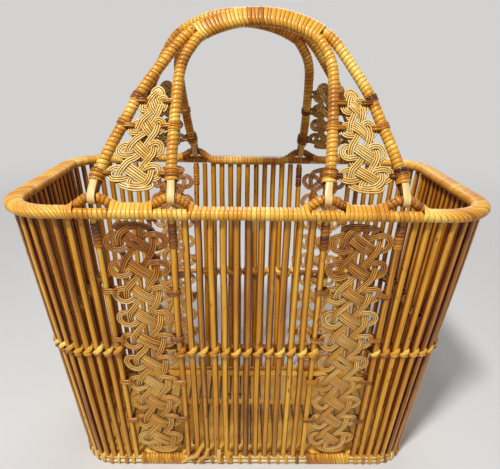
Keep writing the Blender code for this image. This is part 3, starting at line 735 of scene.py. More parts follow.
@dataclass(frozen=True)
class Layout:
    """Sizes that the sub-assemblies share, as the frame has them."""

    rim: Plan = Plan(0.1945, 0.0950, 0.0400)
    base: Plan = Plan(0.1685, 0.0720, 0.0340)
    rim_height: float = 0.2840
    mid_height: float = 0.1490
    lower_hoop: float = 0.0036
    upper_hoop: float = 0.0089
    stake_radius: float = 0.0029
    hoop_radius: float = 0.0025
    rod_offset: float = 0.00345
    rim_pitch: float = 0.0100
    base_pitch: float = 0.0098
    rim_plait_gap: float = 0.0600
    base_plait_gap: float = 0.0530
    middle_stakes: int = 13
    side_stakes: int = 4
    corner_stakes: int = 6
    end_stakes: int = 11
    eye_rise: float = 0.0110

    @property
    def inner_eye(self) -> float:
        """Place of the inner eyes along a side."""
        return self.rim_pitch * (self.middle_stakes - 1) / 2

    @property
    def outer_eye(self) -> float:
        """Place of the outer eyes along a side."""
        return self.inner_eye + self.rim_plait_gap

    @property
    def base_near(self) -> float:
        """Place of the stake on the plait's near side, at the base."""
        return self.base_pitch * (self.middle_stakes - 1) / 2

    @property
    def base_flank(self) -> float:
        """Place of the stake on the plait's far side, at the base."""
        return self.base_near + self.base_plait_gap

    @property
    def quarter_stakes(self) -> int:
        """Number of stakes from the plait's far side to the middle of the end."""
        return self.side_stakes + self.corner_stakes + (self.end_stakes + 1) // 2

    @property
    def tilt(self) -> float:
        """Slope of the long sides out from upright, as an angle."""
        return math.atan2(self.rim.half_depth - self.base.half_depth, self.rim_height - self.upper_hoop)

    def middle_line(self, number: int, face: Face) -> StakeLine:
        """Return a stake of the middle group; number 0 is in the middle."""
        depth = face.value
        return StakeLine(
            np.array((number * self.base_pitch, depth * self.base.half_depth, self.upper_hoop)),
            np.array((number * self.rim_pitch, depth * self.rim.half_depth, self.rim_height)),
            np.array((0.0, depth, 0.0)),
        )

    def quarter_line(self, number: int, side: Side, face: Face) -> StakeLine:
        """Return a stake from the plait's far side, 0, to the middle of the end, the last."""
        ends, outward = [], np.zeros(3)
        signs = np.array((side.value, -face.value, 1.0))
        for plan, start, height in (
            (self.base, self.base_flank, self.upper_hoop), (self.rim, self.outer_eye, self.rim_height),
        ):
            pitch = (plan.quarter - start) / (self.quarter_stakes - 1)
            point, normal = plan.at(start + number * pitch)
            ends.append(point * signs + np.array((0.0, 0.0, height)))
            outward = outward + normal * signs
        return StakeLine(*ends, unit(outward))

    def stake_groups(self) -> dict[str, list[StakeLine]]:
        """Return each group of stakes by its node's name, in order along the cage."""
        corner = self.side_stakes + self.corner_stakes
        half = self.middle_stakes // 2
        groups = {}
        for face in Face:
            word = face.name.lower()
            groups[f"stakes_{word}_middle"] = [self.middle_line(i, face) for i in range(-half, half + 1)]
            for side in Side:
                lines = [self.quarter_line(i, side, face) for i in range(corner)]
                groups[f"stakes_{word}_{side.name.lower()}"] = lines[: self.side_stakes]
                groups[f"stakes_{word}_{side.name.lower()}_corner"] = lines[self.side_stakes:]
        for side in Side:
            front = [self.quarter_line(i, side, Face.FRONT) for i in range(corner, self.quarter_stakes)]
            back = [self.quarter_line(i, side, Face.BACK) for i in range(corner, self.quarter_stakes - 1)]
            groups[f"stakes_{side.name.lower()}_end"] = front + back[::-1]
        return groups


@dataclass
class Cage:
    """The stakes, the rail inside them and the cane that lashes them to it."""

    layout: Layout
    stake_sides: int = 14
    stake_rings: int = 14
    rail_radius: float = 0.0025
    rail_inset: float = 0.0060
    lash_slope: float = math.radians(40)
    lash_width: float = 0.0050

    def build(self) -> None:
        """Build and dress the cage."""
        stake_finish = STAKE_FINISH.material()
        lash_finish = CANE_FINISH.material()
        master = self.master_stake()
        for name, lines in self.layout.stake_groups().items():
            stakes = joined(name.replace("stakes", "rods"), [
                self.stake(f"{name}_{number}", line, master) for number, line in enumerate(lines)
            ])
            hand_over(stakes, stake_finish, Body.BASKET, Slot.STAKES, name)
            lashings = []
            for number, line in enumerate(lines):
                lashings += self.lashing(f"{name}_lash_{number}", line)
            piece = thickened(joined(name.replace("stakes", "lashing"), lashings))
            hand_over(piece, lash_finish, Body.BASKET, Slot.WRAPS)
        bpy.data.objects.remove(master, do_unlink=True)
        self.rail()

    def master_stake(self) -> Mesh:
        """Model one stake, a metre long about its middle, that the others are copied from."""
        deselect_all()
        bpy.ops.mesh.primitive_cylinder_add(vertices=self.stake_sides, radius=1, depth=1)
        stake = bpy.context.object
        bpy.ops.object.mode_set(mode="EDIT")
        bpy.ops.mesh.select_mode(type="EDGE")
        bpy.ops.mesh.select_all(action="DESELECT")
        cage = bmesh.from_edit_mesh(stake.data)
        for edge in cage.edges:
            edge.select_set(abs(edge.verts[0].co.z - edge.verts[1].co.z) > 0.5)
        bmesh.update_edit_mesh(stake.data)
        bpy.ops.mesh.subdivide(number_cuts=self.stake_rings)
        bpy.ops.object.mode_set(mode="OBJECT")
        return stake

    def stake(self, name: str, line: StakeLine, master: Mesh) -> Mesh:
        """Copy the master to a stake's line, with its own small bends, swellings and tone."""
        rng = seeded(name)
        stake = master.copy()
        stake.data = master.data.copy()
        stake.name = name
        bpy.context.scene.collection.objects.link(stake)
        local = np.empty(len(stake.data.vertices) * 3)
        stake.data.vertices.foreach_get("co", local)
        local = local.reshape(-1, 3)
        foot = line.at(self.layout.upper_hoop + self.layout.hoop_radius + 0.0004)
        top = line.at(self.layout.rim_height - 0.0042)
        along = unit(top - foot)
        outward = unit(line.outward - along * np.dot(line.outward, along))
        other = np.cross(along, outward)
        travel = (local[:, 2] + 0.5) * np.linalg.norm(top - foot)
        radius = self.layout.stake_radius * (1 + rng.normal(0, 0.025) + 0.03 * uneven(rng, travel, 0.03))
        free = smooth_step(travel / 0.04) * smooth_step((np.linalg.norm(top - foot) - travel) / 0.04)
        bow = free[:, None] * (
            0.0007 * uneven(rng, travel, 0.10)[:, None] * outward + 0.0007 * uneven(rng, travel, 0.09)[:, None] * other
        )
        places = foot + travel[:, None] * along + bow
        places += radius[:, None] * (local[:, :1] * outward + local[:, 1:2] * other)
        angle = np.arctan2(-local[:, 1], -local[:, 0])
        corners = np.empty(len(stake.data.loops), int)
        stake.data.loops.foreach_get("vertex_index", corners)
        tone = 0.41 + rng.normal(0, 0.11) + 0.10 * uneven(rng, travel, 0.05)
        uv = np.stack([angle * self.layout.stake_radius, travel + rng.uniform(0, 9)], axis=1)
        # The edge mask darkens the flanks that face the neighbouring stakes: painted shade, with some dirt
        lay(stake, places, uv, tone, 1 - np.abs(local[:, 0]))
        self.mend_seam(stake, angle[corners], uv[corners])
        return stake

    def mend_seam(self, stake: Mesh, angles: Array, uv: Array) -> None:
        """Carry the pattern across the face where the angle jumps."""
        starts = np.empty(len(stake.data.polygons), int)
        sizes = np.empty(len(stake.data.polygons), int)
        stake.data.polygons.foreach_get("loop_start", starts)
        stake.data.polygons.foreach_get("loop_total", sizes)
        first = np.repeat(angles[starts], sizes)
        uv[:, 0] += self.layout.stake_radius * 2 * math.pi * np.rint((first - angles) / (2 * math.pi))
        stake.data.uv_layers[0].data.foreach_set("uv", uv.ravel())

    def lashing(self, name: str, line: StakeLine) -> list[Mesh]:
        """Return the leaning turn over a stake and the flat one under it."""
        rng = seeded(name)
        stake = line.at(self.layout.mid_height + rng.normal(0, 0.0005))
        along = np.cross(np.array((0.0, 0.0, 1.0)), line.outward)
        made = []
        for word, slope, drop, width, tone in (
            ("over", self.lash_slope + rng.normal(0, 0.08), 0.0, self.lash_width, 0.20),
            ("under", math.radians(14), 0.0034, self.lash_width * 0.5, 0.55),
        ):
            way = -math.sin(slope) * along + math.cos(slope) * np.array((0.0, 0.0, 1.0))
            centre = stake - np.array((0.0, 0.0, drop))
            reach = self.layout.stake_radius + 0.0002
            line_points = np.array([centre - way * width / 2, centre + way * width / 2])
            rail = line_points - line.outward * self.rail_inset
            made.append(wind(f"{name}_{word}", Route(line_points, rail, rail - line_points), Turns(
                pitch=width, reach=(reach, reach / math.cos(slope)), thickness=0.0014, seam=0.0,
                tone=tone + rng.normal(0, 0.08), rings=20, cover=1.0,
            )))
        return made

    def rail(self) -> None:
        """Make the hoop inside the stakes at mid height."""
        share = (self.layout.mid_height - self.layout.upper_hoop) / (self.layout.rim_height - self.layout.upper_hoop)
        plans = self.layout.base, self.layout.rim
        sizes = [
            getattr(plans[0], size) * (1 - share) + getattr(plans[1], size) * share
            for size in ("half_length", "half_depth", "corner_radius")
        ]
        plan = Plan(*sizes)
        points, outward = plan.stretch(0, 4 * plan.quarter, 0.003)
        points = points - outward * self.rail_inset + np.array((0.0, 0.0, self.layout.mid_height))
        piece = rod("mid_rail_rod", single(points, outward), self.rail_radius, tone=0.7)
        hand_over(piece, RAIL_FINISH.material(), Body.BASKET, Slot.MID_RAIL, "mid_rail")


@dataclass
class Rim:
    """The two rim rods, the eyes and the cane that binds them."""

    layout: Layout
    rod_radius: float = 0.0033
    eye_foot: float = 0.0240
    saddle_rise: float = 0.0026
    mouth: float = 0.0132
    band_turns: Turns = Turns(
        pitch=0.0035, reach=(0.0038, 0.0040), thickness=0.0004, seam=0.36, rings=20, tone=0.26, cover=1.0,
        stray=0.16,
    )
    end_lean: float = 0.0065
    side_lean: float = 0.0018

    def rise(self, x: Array) -> Array:
        """Return how far the inner rod stands above the rim along a side."""
        eyes = (self.layout.inner_eye, self.layout.outer_eye)
        share = np.min([np.abs(np.abs(x) - eye) for eye in eyes], axis=0) / self.eye_foot
        eye_part = 1 - smooth_step((share - 0.08) / 0.84)
        between = smooth_step((np.abs(x) - eyes[0]) / 0.02) * smooth_step((eyes[1] - np.abs(x)) / 0.02)
        return self.layout.eye_rise * eye_part + self.saddle_rise * between * (1 - eye_part)

    def lines(self, start: float, end: float) -> tuple[Array, Array, Array]:
        """Return the inner and outer rods' points, and the outward directions, along a stretch of the rim."""
        points, outward = self.layout.rim.stretch(start, end, 0.0015)
        points = points + np.array((0.0, 0.0, self.layout.rim_height))
        inner = points - outward * self.layout.rod_offset
        inner[:, 2] += self.rise(points[:, 0]) * (np.abs(outward[:, 1]) > 0.999)
        return inner, points + outward * self.layout.rod_offset, outward

    def stretches(self) -> dict[str, tuple[float, float, float]]:
        """Return the bound stretches by name: where each starts and ends, and how far its turns lean."""
        half = 2 * self.layout.rim.quarter
        inner, outer, mouth = self.layout.inner_eye, self.layout.outer_eye, self.mouth
        spans = {
            "front_middle": (-inner + mouth, inner - mouth, 0.0),
            "front_right": (inner + mouth, outer - mouth, 0.0),
            "right_end": (outer + mouth, half - outer - mouth, self.end_lean),
            "back_right": (half - outer + mouth, half - inner - mouth, self.side_lean),
            "back_middle": (half - inner + mouth, half + inner - mouth, self.side_lean),
            "back_left": (half + inner + mouth, half + outer - mouth, self.side_lean),
            "left_end": (half + outer + mouth, 2 * half - outer - mouth, self.end_lean),
            "front_left": (2 * half - outer + mouth, 2 * half - inner - mouth, self.side_lean / 2),
        }
        return spans

    def build(self) -> None:
        """Build and dress the rim."""
        stake_finish, cane_finish = STAKE_FINISH.material(), CANE_FINISH.material()
        inner, outer, outward = self.lines(0, 4 * self.layout.rim.quarter)
        for name, points in (("inner", inner), ("outer", outer)):
            piece = rod(f"rim_{name}", single(points, outward), self.rod_radius, step=0.003, tone=0.45)
            hand_over(piece, stake_finish, Body.BASKET, Slot.STAKES, f"rim_{name}_rod")
        for place, (start, end, lean) in self.stretches().items():
            inner, outer, _ = self.lines(start, end)
            turns = replace(self.band_turns, lean=lean)
            strip = thickened(wind(f"rim_band_{place}", pair(inner, outer), turns))
            hand_over(strip, cane_finish, Body.BASKET, Slot.WRAPS, f"rim_wrap_{place}")
        self.bind_eyes(cane_finish)

    def bind_eyes(self, finish: bpy.types.Material) -> None:
        """Wind the outer rod under each eye, and the inner rod over it."""
        half = 2 * self.layout.rim.quarter
        sills, humps = [], []
        for middle in (0.0, half):
            for number, eye in enumerate((self.layout.inner_eye, self.layout.outer_eye)):
                for sign in (-1, 1):
                    travel = middle + sign * eye + (2 * half if middle + sign * eye < 0 else 0)
                    name = f"eye_{round(middle > 0)}_{number}_{sign}"
                    inner, outer, outward = self.lines(travel - self.mouth, travel + self.mouth)
                    sills.append(wind(f"{name}_sill", single(outer, outward), Turns(
                        pitch=0.0036, reach=(0.0038, 0.0039), thickness=0.0004, seam=0.45, tone=0.26, even=True,
                    )))
                    inner, _, outward = self.lines(travel - self.mouth - 0.002, travel + self.mouth + 0.002)
                    humps.append(wind(f"{name}_hump", single(inner, outward), Turns(
                        pitch=0.0036, reach=(0.00335, 0.00335), thickness=0.0005, seam=0.45, tone=0.52, even=True,
                    )))
        for name, strips in (("rim_eye_sills", sills), ("rim_eye_humps", humps)):
            hand_over(thickened(joined(name, strips)), finish, Body.BASKET, Slot.WRAPS)


@dataclass
class Foundation:
    """The base hoops, the cane that binds them, and the floor."""

    layout: Layout
    binding_width: float = 0.0034
    slats: int = 27
    slat_gap: float = 0.0020
    slat_thickness: float = 0.0022
    strip_places: tuple[float, ...] = (-0.06045, 0.00845, 0.06045)
    strip_width: float = 0.0090

    def build(self) -> None:
        """Build and dress the base."""
        layout = self.layout
        hoop_finish, cane_finish = HOOP_FINISH.material(), CANE_FINISH.material()
        points, outward = layout.base.stretch(0, 4 * layout.base.quarter, 0.003)
        for name, height in (("lower", layout.lower_hoop), ("upper", layout.upper_hoop)):
            line = points + np.array((0.0, 0.0, height))
            piece = rod(f"hoop_{name}", single(line, outward), layout.hoop_radius, tone=0.15)
            hand_over(piece, hoop_finish, Body.BASKET, Slot.BASE_HOOPS, f"base_{name}_hoop")
        self.bindings(cane_finish)
        self.wraps(cane_finish)
        self.loose_ends(cane_finish)
        self.floor()

    def hoops(self, start: float, end: float) -> Route:
        """Return both hoops along a stretch of the base, the lower one first."""
        points, _ = self.layout.base.stretch(start, end, 0.001)
        lower = points + np.array((0.0, 0.0, self.layout.lower_hoop))
        return pair(lower, points + np.array((0.0, 0.0, self.layout.upper_hoop)))

    def bindings(self, finish: bpy.types.Material) -> None:
        """Tie both hoops together between each two stakes."""
        layout = self.layout
        quarter = layout.base.quarter
        pitch = (quarter - layout.base_flank) / (layout.quarter_stakes - 1)
        places = [(number + 0.5) * layout.base_pitch for number in range(layout.middle_stakes // 2)]
        places += [layout.base_flank + (number + 0.5) * pitch for number in range(layout.quarter_stakes - 1)]
        ties = []
        for middle in (0, 2 * quarter):
            for sign in (-1, 1):
                for number, place in enumerate(places):
                    name = f"tie_{round(middle > 0)}_{sign}_{number}"
                    rng = seeded(name)
                    travel = middle + sign * place + rng.normal(0, 0.0006) + (4 * quarter if sign < 0 else 0)
                    width = self.binding_width * (1 + rng.normal(0, 0.12))
                    route = self.hoops(travel - width / 2, travel + width / 2)
                    ties.append(wind(name, route, Turns(
                        pitch=width, reach=(0.0025, 0.0028), thickness=0.0011, seam=0.75,
                        tone=0.34 + rng.normal(0, 0.1), rings=22, cover=1.0, stray=0.2,
                    )))
        hand_over(thickened(joined("base_bindings", ties)), finish, Body.BASKET, Slot.WRAPS)

    def wraps(self, finish: bpy.types.Material) -> None:
        """Wind both hoops closely under each plait."""
        layout = self.layout
        near, far = layout.base_near + 0.0037, layout.base_flank - 0.0037
        half = 2 * layout.base.quarter
        for face, middle in ((Face.FRONT, 0.0), (Face.BACK, half)):
            for side in Side:
                sign = side.value if face is Face.FRONT else -side.value
                start, end = (near, far) if sign > 0 else (2 * half - far, 2 * half - near)
                name = f"{face.name.lower()}_{side.name.lower()}"
                strip = wind(f"base_band_{name}", self.hoops(middle + start, middle + end), Turns(
                    pitch=0.0031, reach=(0.0027, 0.0027), thickness=0.0008, seam=0.3, tone=0.33, stray=0.3,
                ))
                hand_over(thickened(strip), finish, Body.BASKET, Slot.WRAPS, f"base_wrap_{name}")

    def loose_ends(self, finish: bpy.types.Material) -> None:
        """Lay the slanting ends of cane beside the front left plait."""
        layout = self.layout
        front = -layout.base.half_depth - layout.hoop_radius - 0.0009
        strips = []
        for number, (x, run, top) in enumerate(((-0.0600, 0.0160, 0.0290), (-0.0460, 0.0085, 0.0270),
                                                (-0.0275, 0.0008, 0.0250), (-0.0180, 0.0012, 0.0235))):
            knots = np.array((
                (x - run / 3, front + 0.0004, 0.0030), (x, front, 0.0085), (x + run / 2, front - 0.0022, 0.0140),
                (x + run, front - 0.0032, top),
            ))
            strips.append(ribbon(f"loose_end_{number}", smooth_line(knots, 0.0012), (0.0, -1.0, 0.0), 0.0038, 0.2))
        hand_over(thickened(joined("base_loose_ends", strips)), finish, Body.BASKET, Slot.WRAPS)

    def reach(self, x: float) -> float:
        """Return how far front and back the floor reaches at a distance from the middle."""
        base = self.layout.base
        inset = self.layout.hoop_radius + 0.0014
        into_corner = abs(x) - (base.half_length - base.corner_radius)
        if into_corner <= 0:
            return base.half_depth - inset
        radius = base.corner_radius - inset
        return base.half_depth - base.corner_radius + math.sqrt(max(radius**2 - into_corner**2, 0))

    def plank(self, name: str, low: Array, high: Array, tone: float) -> Mesh:
        """Return one slat with rounded edges, its grain along its longer side."""
        deselect_all()
        centre, size = (low + high) / 2, high - low
        bpy.ops.mesh.primitive_cube_add(size=1, location=centre, scale=size)
        slat = bpy.context.object
        slat.name = name
        bpy.ops.object.transform_apply(location=True, rotation=True, scale=True)
        bevel = slat.modifiers.new("edges", "BEVEL")
        bevel.width = 0.0006
        bevel.segments = 2
        bpy.ops.object.modifier_apply(modifier=bevel.name)
        places = np.empty(len(slat.data.vertices) * 3)
        slat.data.vertices.foreach_get("co", places)
        places = places.reshape(-1, 3)
        long, short = (1, 0) if size[1] > size[0] else (0, 1)
        rng = seeded(name)
        uv = np.stack([places[:, short] + places[:, 2], places[:, long] + rng.uniform(0, 9)], axis=1)
        lay(slat, places, uv, tone + rng.normal(0, 0.07))
        return slat

    def floor(self) -> None:
        """Make the slats, the strips across them and two dark stitches."""
        layout = self.layout
        half = layout.base.half_length - layout.hoop_radius - 0.0003
        pitch = (2 * half + self.slat_gap) / self.slats
        bottom = (layout.lower_hoop + layout.upper_hoop - self.slat_thickness) / 2
        top = bottom + self.slat_thickness
        planks = []
        for number in range(self.slats):
            left = -half + number * pitch
            right = left + pitch - self.slat_gap
            reach = self.reach(max(abs(left), abs(right)))
            planks.append(self.plank(
                f"slat_{number}", np.array((left, -reach, bottom)), np.array((right, reach, top)), 0.22,
            ))
        for number, y in enumerate(self.strip_places):
            edge = abs(y) + self.strip_width / 2 + 0.002
            reach = next(half - i * pitch for i in range(self.slats) if self.reach(half - i * pitch) >= edge)
            planks.append(self.plank(
                f"strip_{number}", np.array((-reach, y - self.strip_width / 2, top - 0.0004)),
                np.array((reach, y + self.strip_width / 2, top + 0.0010)), 0.30,
            ))
        for number, x in enumerate((-0.021, -0.007)):
            planks.append(self.plank(
                f"stitch_{number}", np.array((x - 0.0028, 0.0205, top - 0.0004)),
                np.array((x + 0.0028, 0.0232, top + 0.0012)), 1.25,
            ))
        hand_over(joined("floor_slats", planks), SLAT_FINISH.material(), Body.BASKET, Slot.FLOOR, "floor")


def ribbon(name: str, points: Array, face: tuple, width: float, tone: float, crown: float = 0.0007) -> Mesh:
    """Return a strip of cane laid along a line.

    Args:
        name: Name of the strip, which also sets its random numbers.
        points: Points along its middle.
        face: The direction that its outer side faces, one or one for each point.
        width: Width of the strip.
        tone: How dark it is.
        crown: Height of its crown.

    Returns:
        The strip, still without its wall.
    """
    route = single(points, np.broadcast_to(np.asarray(face, float), points.shape))
    strip, across, along = new_grid(name, len(STRIP_PLACE_SHARES) - 1, len(points) - 1)
    slot = np.rint((1 - across) * (len(STRIP_PLACE_SHARES) - 1)).astype(int)
    travel = along * route.length
    middle, outward, other, _ = route.at(travel)
    place = STRIP_PLACE_SHARES[slot] * width
    places = middle - other * place[:, None] + outward * (crown * STRIP_CROWN_SHARES[slot])[:, None]
    rng = seeded(name)
    uv = np.stack([place, travel + rng.uniform(0, 9)], axis=1)
    lay(strip, places, uv, tone + 0.08 * uneven(rng, travel, 0.01))
    return strip


@dataclass(frozen=True)
class Weave:
    """A flat plait of triple strands, made of like units one below the other.

    Places are shares of the unit's height and of the plait's width: across to the right, up, and the level
    out from the plait's middle in strands. Each path crosses a unit twice and comes back four units down.

    Args:
        units: Number of units.
        strand_radius: Radius of a strand.
        lane: Distance between strands that run side by side.
    """

    units: int
    strand_radius: float = 0.00085
    lane: float = 0.00178

    # From the upper band across a unit, round its right and left loops, to the end of its lower band
    circuit_shares = (
        (-0.35, 0.40, 0.0), (0.064, 0.086, 1.0), (0.44, -0.20, 0.0), (0.63, -0.27, -0.2), (0.83, -0.14, 0.2),
        (0.91, 0.06, 0.5), (0.82, 0.24, 0.8), (0.62, 0.31, 1.0), (0.40, 0.25, 0.5), (0.22, 0.14, -0.6),
        (0.0, -0.02, -1.0), (-0.26, -0.20, -0.5), (-0.50, -0.29, 1.0), (-0.74, -0.26, 0.6), (-0.90, -0.07, 0.2),
        (-0.86, 0.13, 0.0), (-0.70, 0.23, 0.0), (-0.46, 0.20, 0.0), (-0.064, -0.086, 1.0), (0.33, -0.385, 0.0),
    )
    # From the end of the lower band down the right of the next unit, under the one after it, and down the
    # left of the third, to the upper band of the fourth
    descent_shares = (
        (0.49, -0.52, -0.3), (0.55, -0.72, -0.5), (0.56, -0.94, 0.2), (0.53, -1.21, 1.0), (0.42, -1.44, 1.0),
        (0.27, -1.66, 0.3), (0.08, -2.0, 0.0), (-0.12, -2.34, 0.3), (-0.34, -2.57, 1.0), (-0.49, -2.80, 1.0),
        (-0.54, -3.03, 0.2), (-0.54, -3.27, -0.5), (-0.49, -3.44, -0.3),
    )
    right_run = 6
    left_run = 7
    # Bights at the foot, from the left of the last unit to its lower band, and inside that
    outer_bight_shares = ((-0.50, -0.46, 0.0), (-0.33, -0.76, 0.3), (0.08, -0.98, 0.3), (0.46, -0.88, 0.3),
                          (0.58, -0.64, 0.0))
    inner_bight_shares = ((-0.12, -0.36, 0.0), (-0.14, -0.60, 0.4), (0.06, -0.74, 0.6))

    def path(self, number: int) -> list[tuple]:
        """Return the places of one of the four paths, from the head of the plait to its foot."""
        places = []
        for unit_number in range(number - 4, self.units, 4):
            down = -unit_number
            if unit_number >= 0:
                places += [(x, y + down, level) for x, y, level in self.circuit_shares]
            for index, (x, y, level) in enumerate(self.descent_shares):
                reached = unit_number + (1 if index < self.right_run else 2 if index == self.right_run else 3)
                if 0 <= reached < self.units:
                    places.append((x, y + down, level))
        return places

    def bight(self, shares: tuple, at_head: bool) -> list[tuple]:
        """Return the places of a bight, from left to right at the foot and turned round at the head."""
        down = 0 if at_head else 1 - self.units
        sign = -1 if at_head else 1
        return [(sign * x, sign * y + down, level) for x, y, level in shares]

    def loops(self) -> list[Array]:
        """Return the closed lines that the paths and bights make together."""
        last = self.units - 1
        left_end = {(last - 3) % 4: "outer", (last - 2) % 4: "inner"}
        right_end = {last % 4: "outer", (last - 1) % 4: "inner"}
        bights = {"outer": self.outer_bight_shares, "inner": self.inner_bight_shares}
        paths = {number: self.path(number) for number in range(4)}
        foot_mate = {}
        for kind in bights:
            left = next(n for n, k in left_end.items() if k == kind)
            right = next(n for n, k in right_end.items() if k == kind)
            foot_mate[left], foot_mate[right] = (right, kind, False), (left, kind, True)
        head_mate = {0: (3, "outer", False), 3: (0, "outer", True), 1: (2, "inner", False), 2: (1, "inner", True)}
        lines, waiting = [], set(range(4))
        while waiting:
            start = min(waiting)
            line, number = [], start
            while True:
                waiting.discard(number)
                line += paths[number]
                mate, kind, back = foot_mate[number]
                curve = self.bight(bights[kind], False)
                line += curve[::-1] if back else curve
                waiting.discard(mate)
                line += paths[mate][::-1]
                number, kind, back = head_mate[mate]
                curve = self.bight(bights[kind], True)
                line += curve if back else curve[::-1]
                if number == start:
                    break
            lines.append(np.array(line))
        return lines


@dataclass
class Plait:
    """One plait laid in a flat space: its weave, and where its units stand.

    Args:
        name: Name of the plait, which also sets its random numbers.
        weave: How it is woven.
        head: Height of the first unit's centre.
        pitch: Distance from unit to unit.
        edges: Gives the left and right edges of the space at heights.
        stretch: How much of the bights' height is kept at the head and at the foot.
        head_shade: How much darker the strands are at the head: painted shadow under the rim, and browner cane.
    """

    name: str
    weave: Weave
    head: float
    pitch: float
    edges: object
    stretch: tuple[float, float]
    head_shade: float = 0.0

    def height(self, share: Array) -> Array:
        """Return heights in the space, with the bights drawn in at both ends."""
        last = 1 - self.weave.units
        above = np.maximum(share - 0.45, 0)
        below = np.maximum(last - 0.42 - share, 0)
        kept = share - above * (1 - self.stretch[0]) + below * (1 - self.stretch[1])
        return self.head + kept * self.pitch

    def across(self, share: Array, height: Array) -> Array:
        """Return places across the space."""
        left, right = self.edges(height)
        half = (right - left) / 2 - self.weave.strand_radius - self.weave.lane
        return (left + right) / 2 + share / 0.91 * half

    def make(self, matrix: Matrix, tone: float) -> Mesh:
        """Weave the plait.

        Args:
            matrix: Takes the flat space, with its third axis outward, to its place.
            tone: How dark the strands are.

        Returns:
            The woven plait.
        """
        rng = seeded(self.name)
        strands = []
        for number, line in enumerate(self.weave.loops()):
            shares = line + np.array((0.018, 0.018, 0.0)) * rng.normal(0, 1, line.shape)
            height = self.height(shares[:, 1])
            knots = np.stack([
                self.across(shares[:, 0], height), height, line[:, 2] * 2 * self.weave.strand_radius,
            ], axis=1)
            core = smooth_line(knots, 0.0010, closed=True)
            ahead = unit(np.roll(core[:-1], -2, axis=0) - np.roll(core[:-1], 2, axis=0))
            aside = unit(np.cross(ahead, np.array((0.0, 0.0, 1.0))))
            for lane in (-1, 0, 1):
                track = core[:-1] + aside * self.weave.lane * lane
                track[:, 2] += lane * lane * -0.0001
                kernel = np.array((0.25, 0.5, 0.25))
                for _ in range(2):
                    track = sum(w * np.roll(track, s, axis=0) for w, s in zip(kernel, (-1, 0, 1)))
                track = spaced(np.vstack([track, track[:1]]), 0.0018)
                route = single(track, np.array((0.0, 0.0, 1.0)))
                name = f"{self.name}_{number}_{lane}"
                strand_tone = tone + seeded(name).normal(0, 0.06)
                strands.append(rod(name, route, self.weave.strand_radius, step=0.0018, sides=8, tone=strand_tone))
        piece = joined(self.name, strands)
        self.shade_head(piece)
        piece.data.transform(matrix)
        return piece

    def shade_head(self, piece: Mesh) -> None:
        """Darken the plait's first units: painted shadow under the rim, and cane that is browner there."""
        count = len(piece.data.vertices)
        places, tone = np.empty(count * 3), np.empty(count)
        piece.data.vertices.foreach_get("co", places)
        attribute = piece.data.attributes["tone"].data
        attribute.foreach_get("value", tone)
        below = (self.head - places.reshape(-1, 3)[:, 1]) / self.pitch
        tone += self.head_shade * (1 - smooth_step((below - 0.4) / 1.8))
        attribute.foreach_set("value", tone.astype(np.float32))


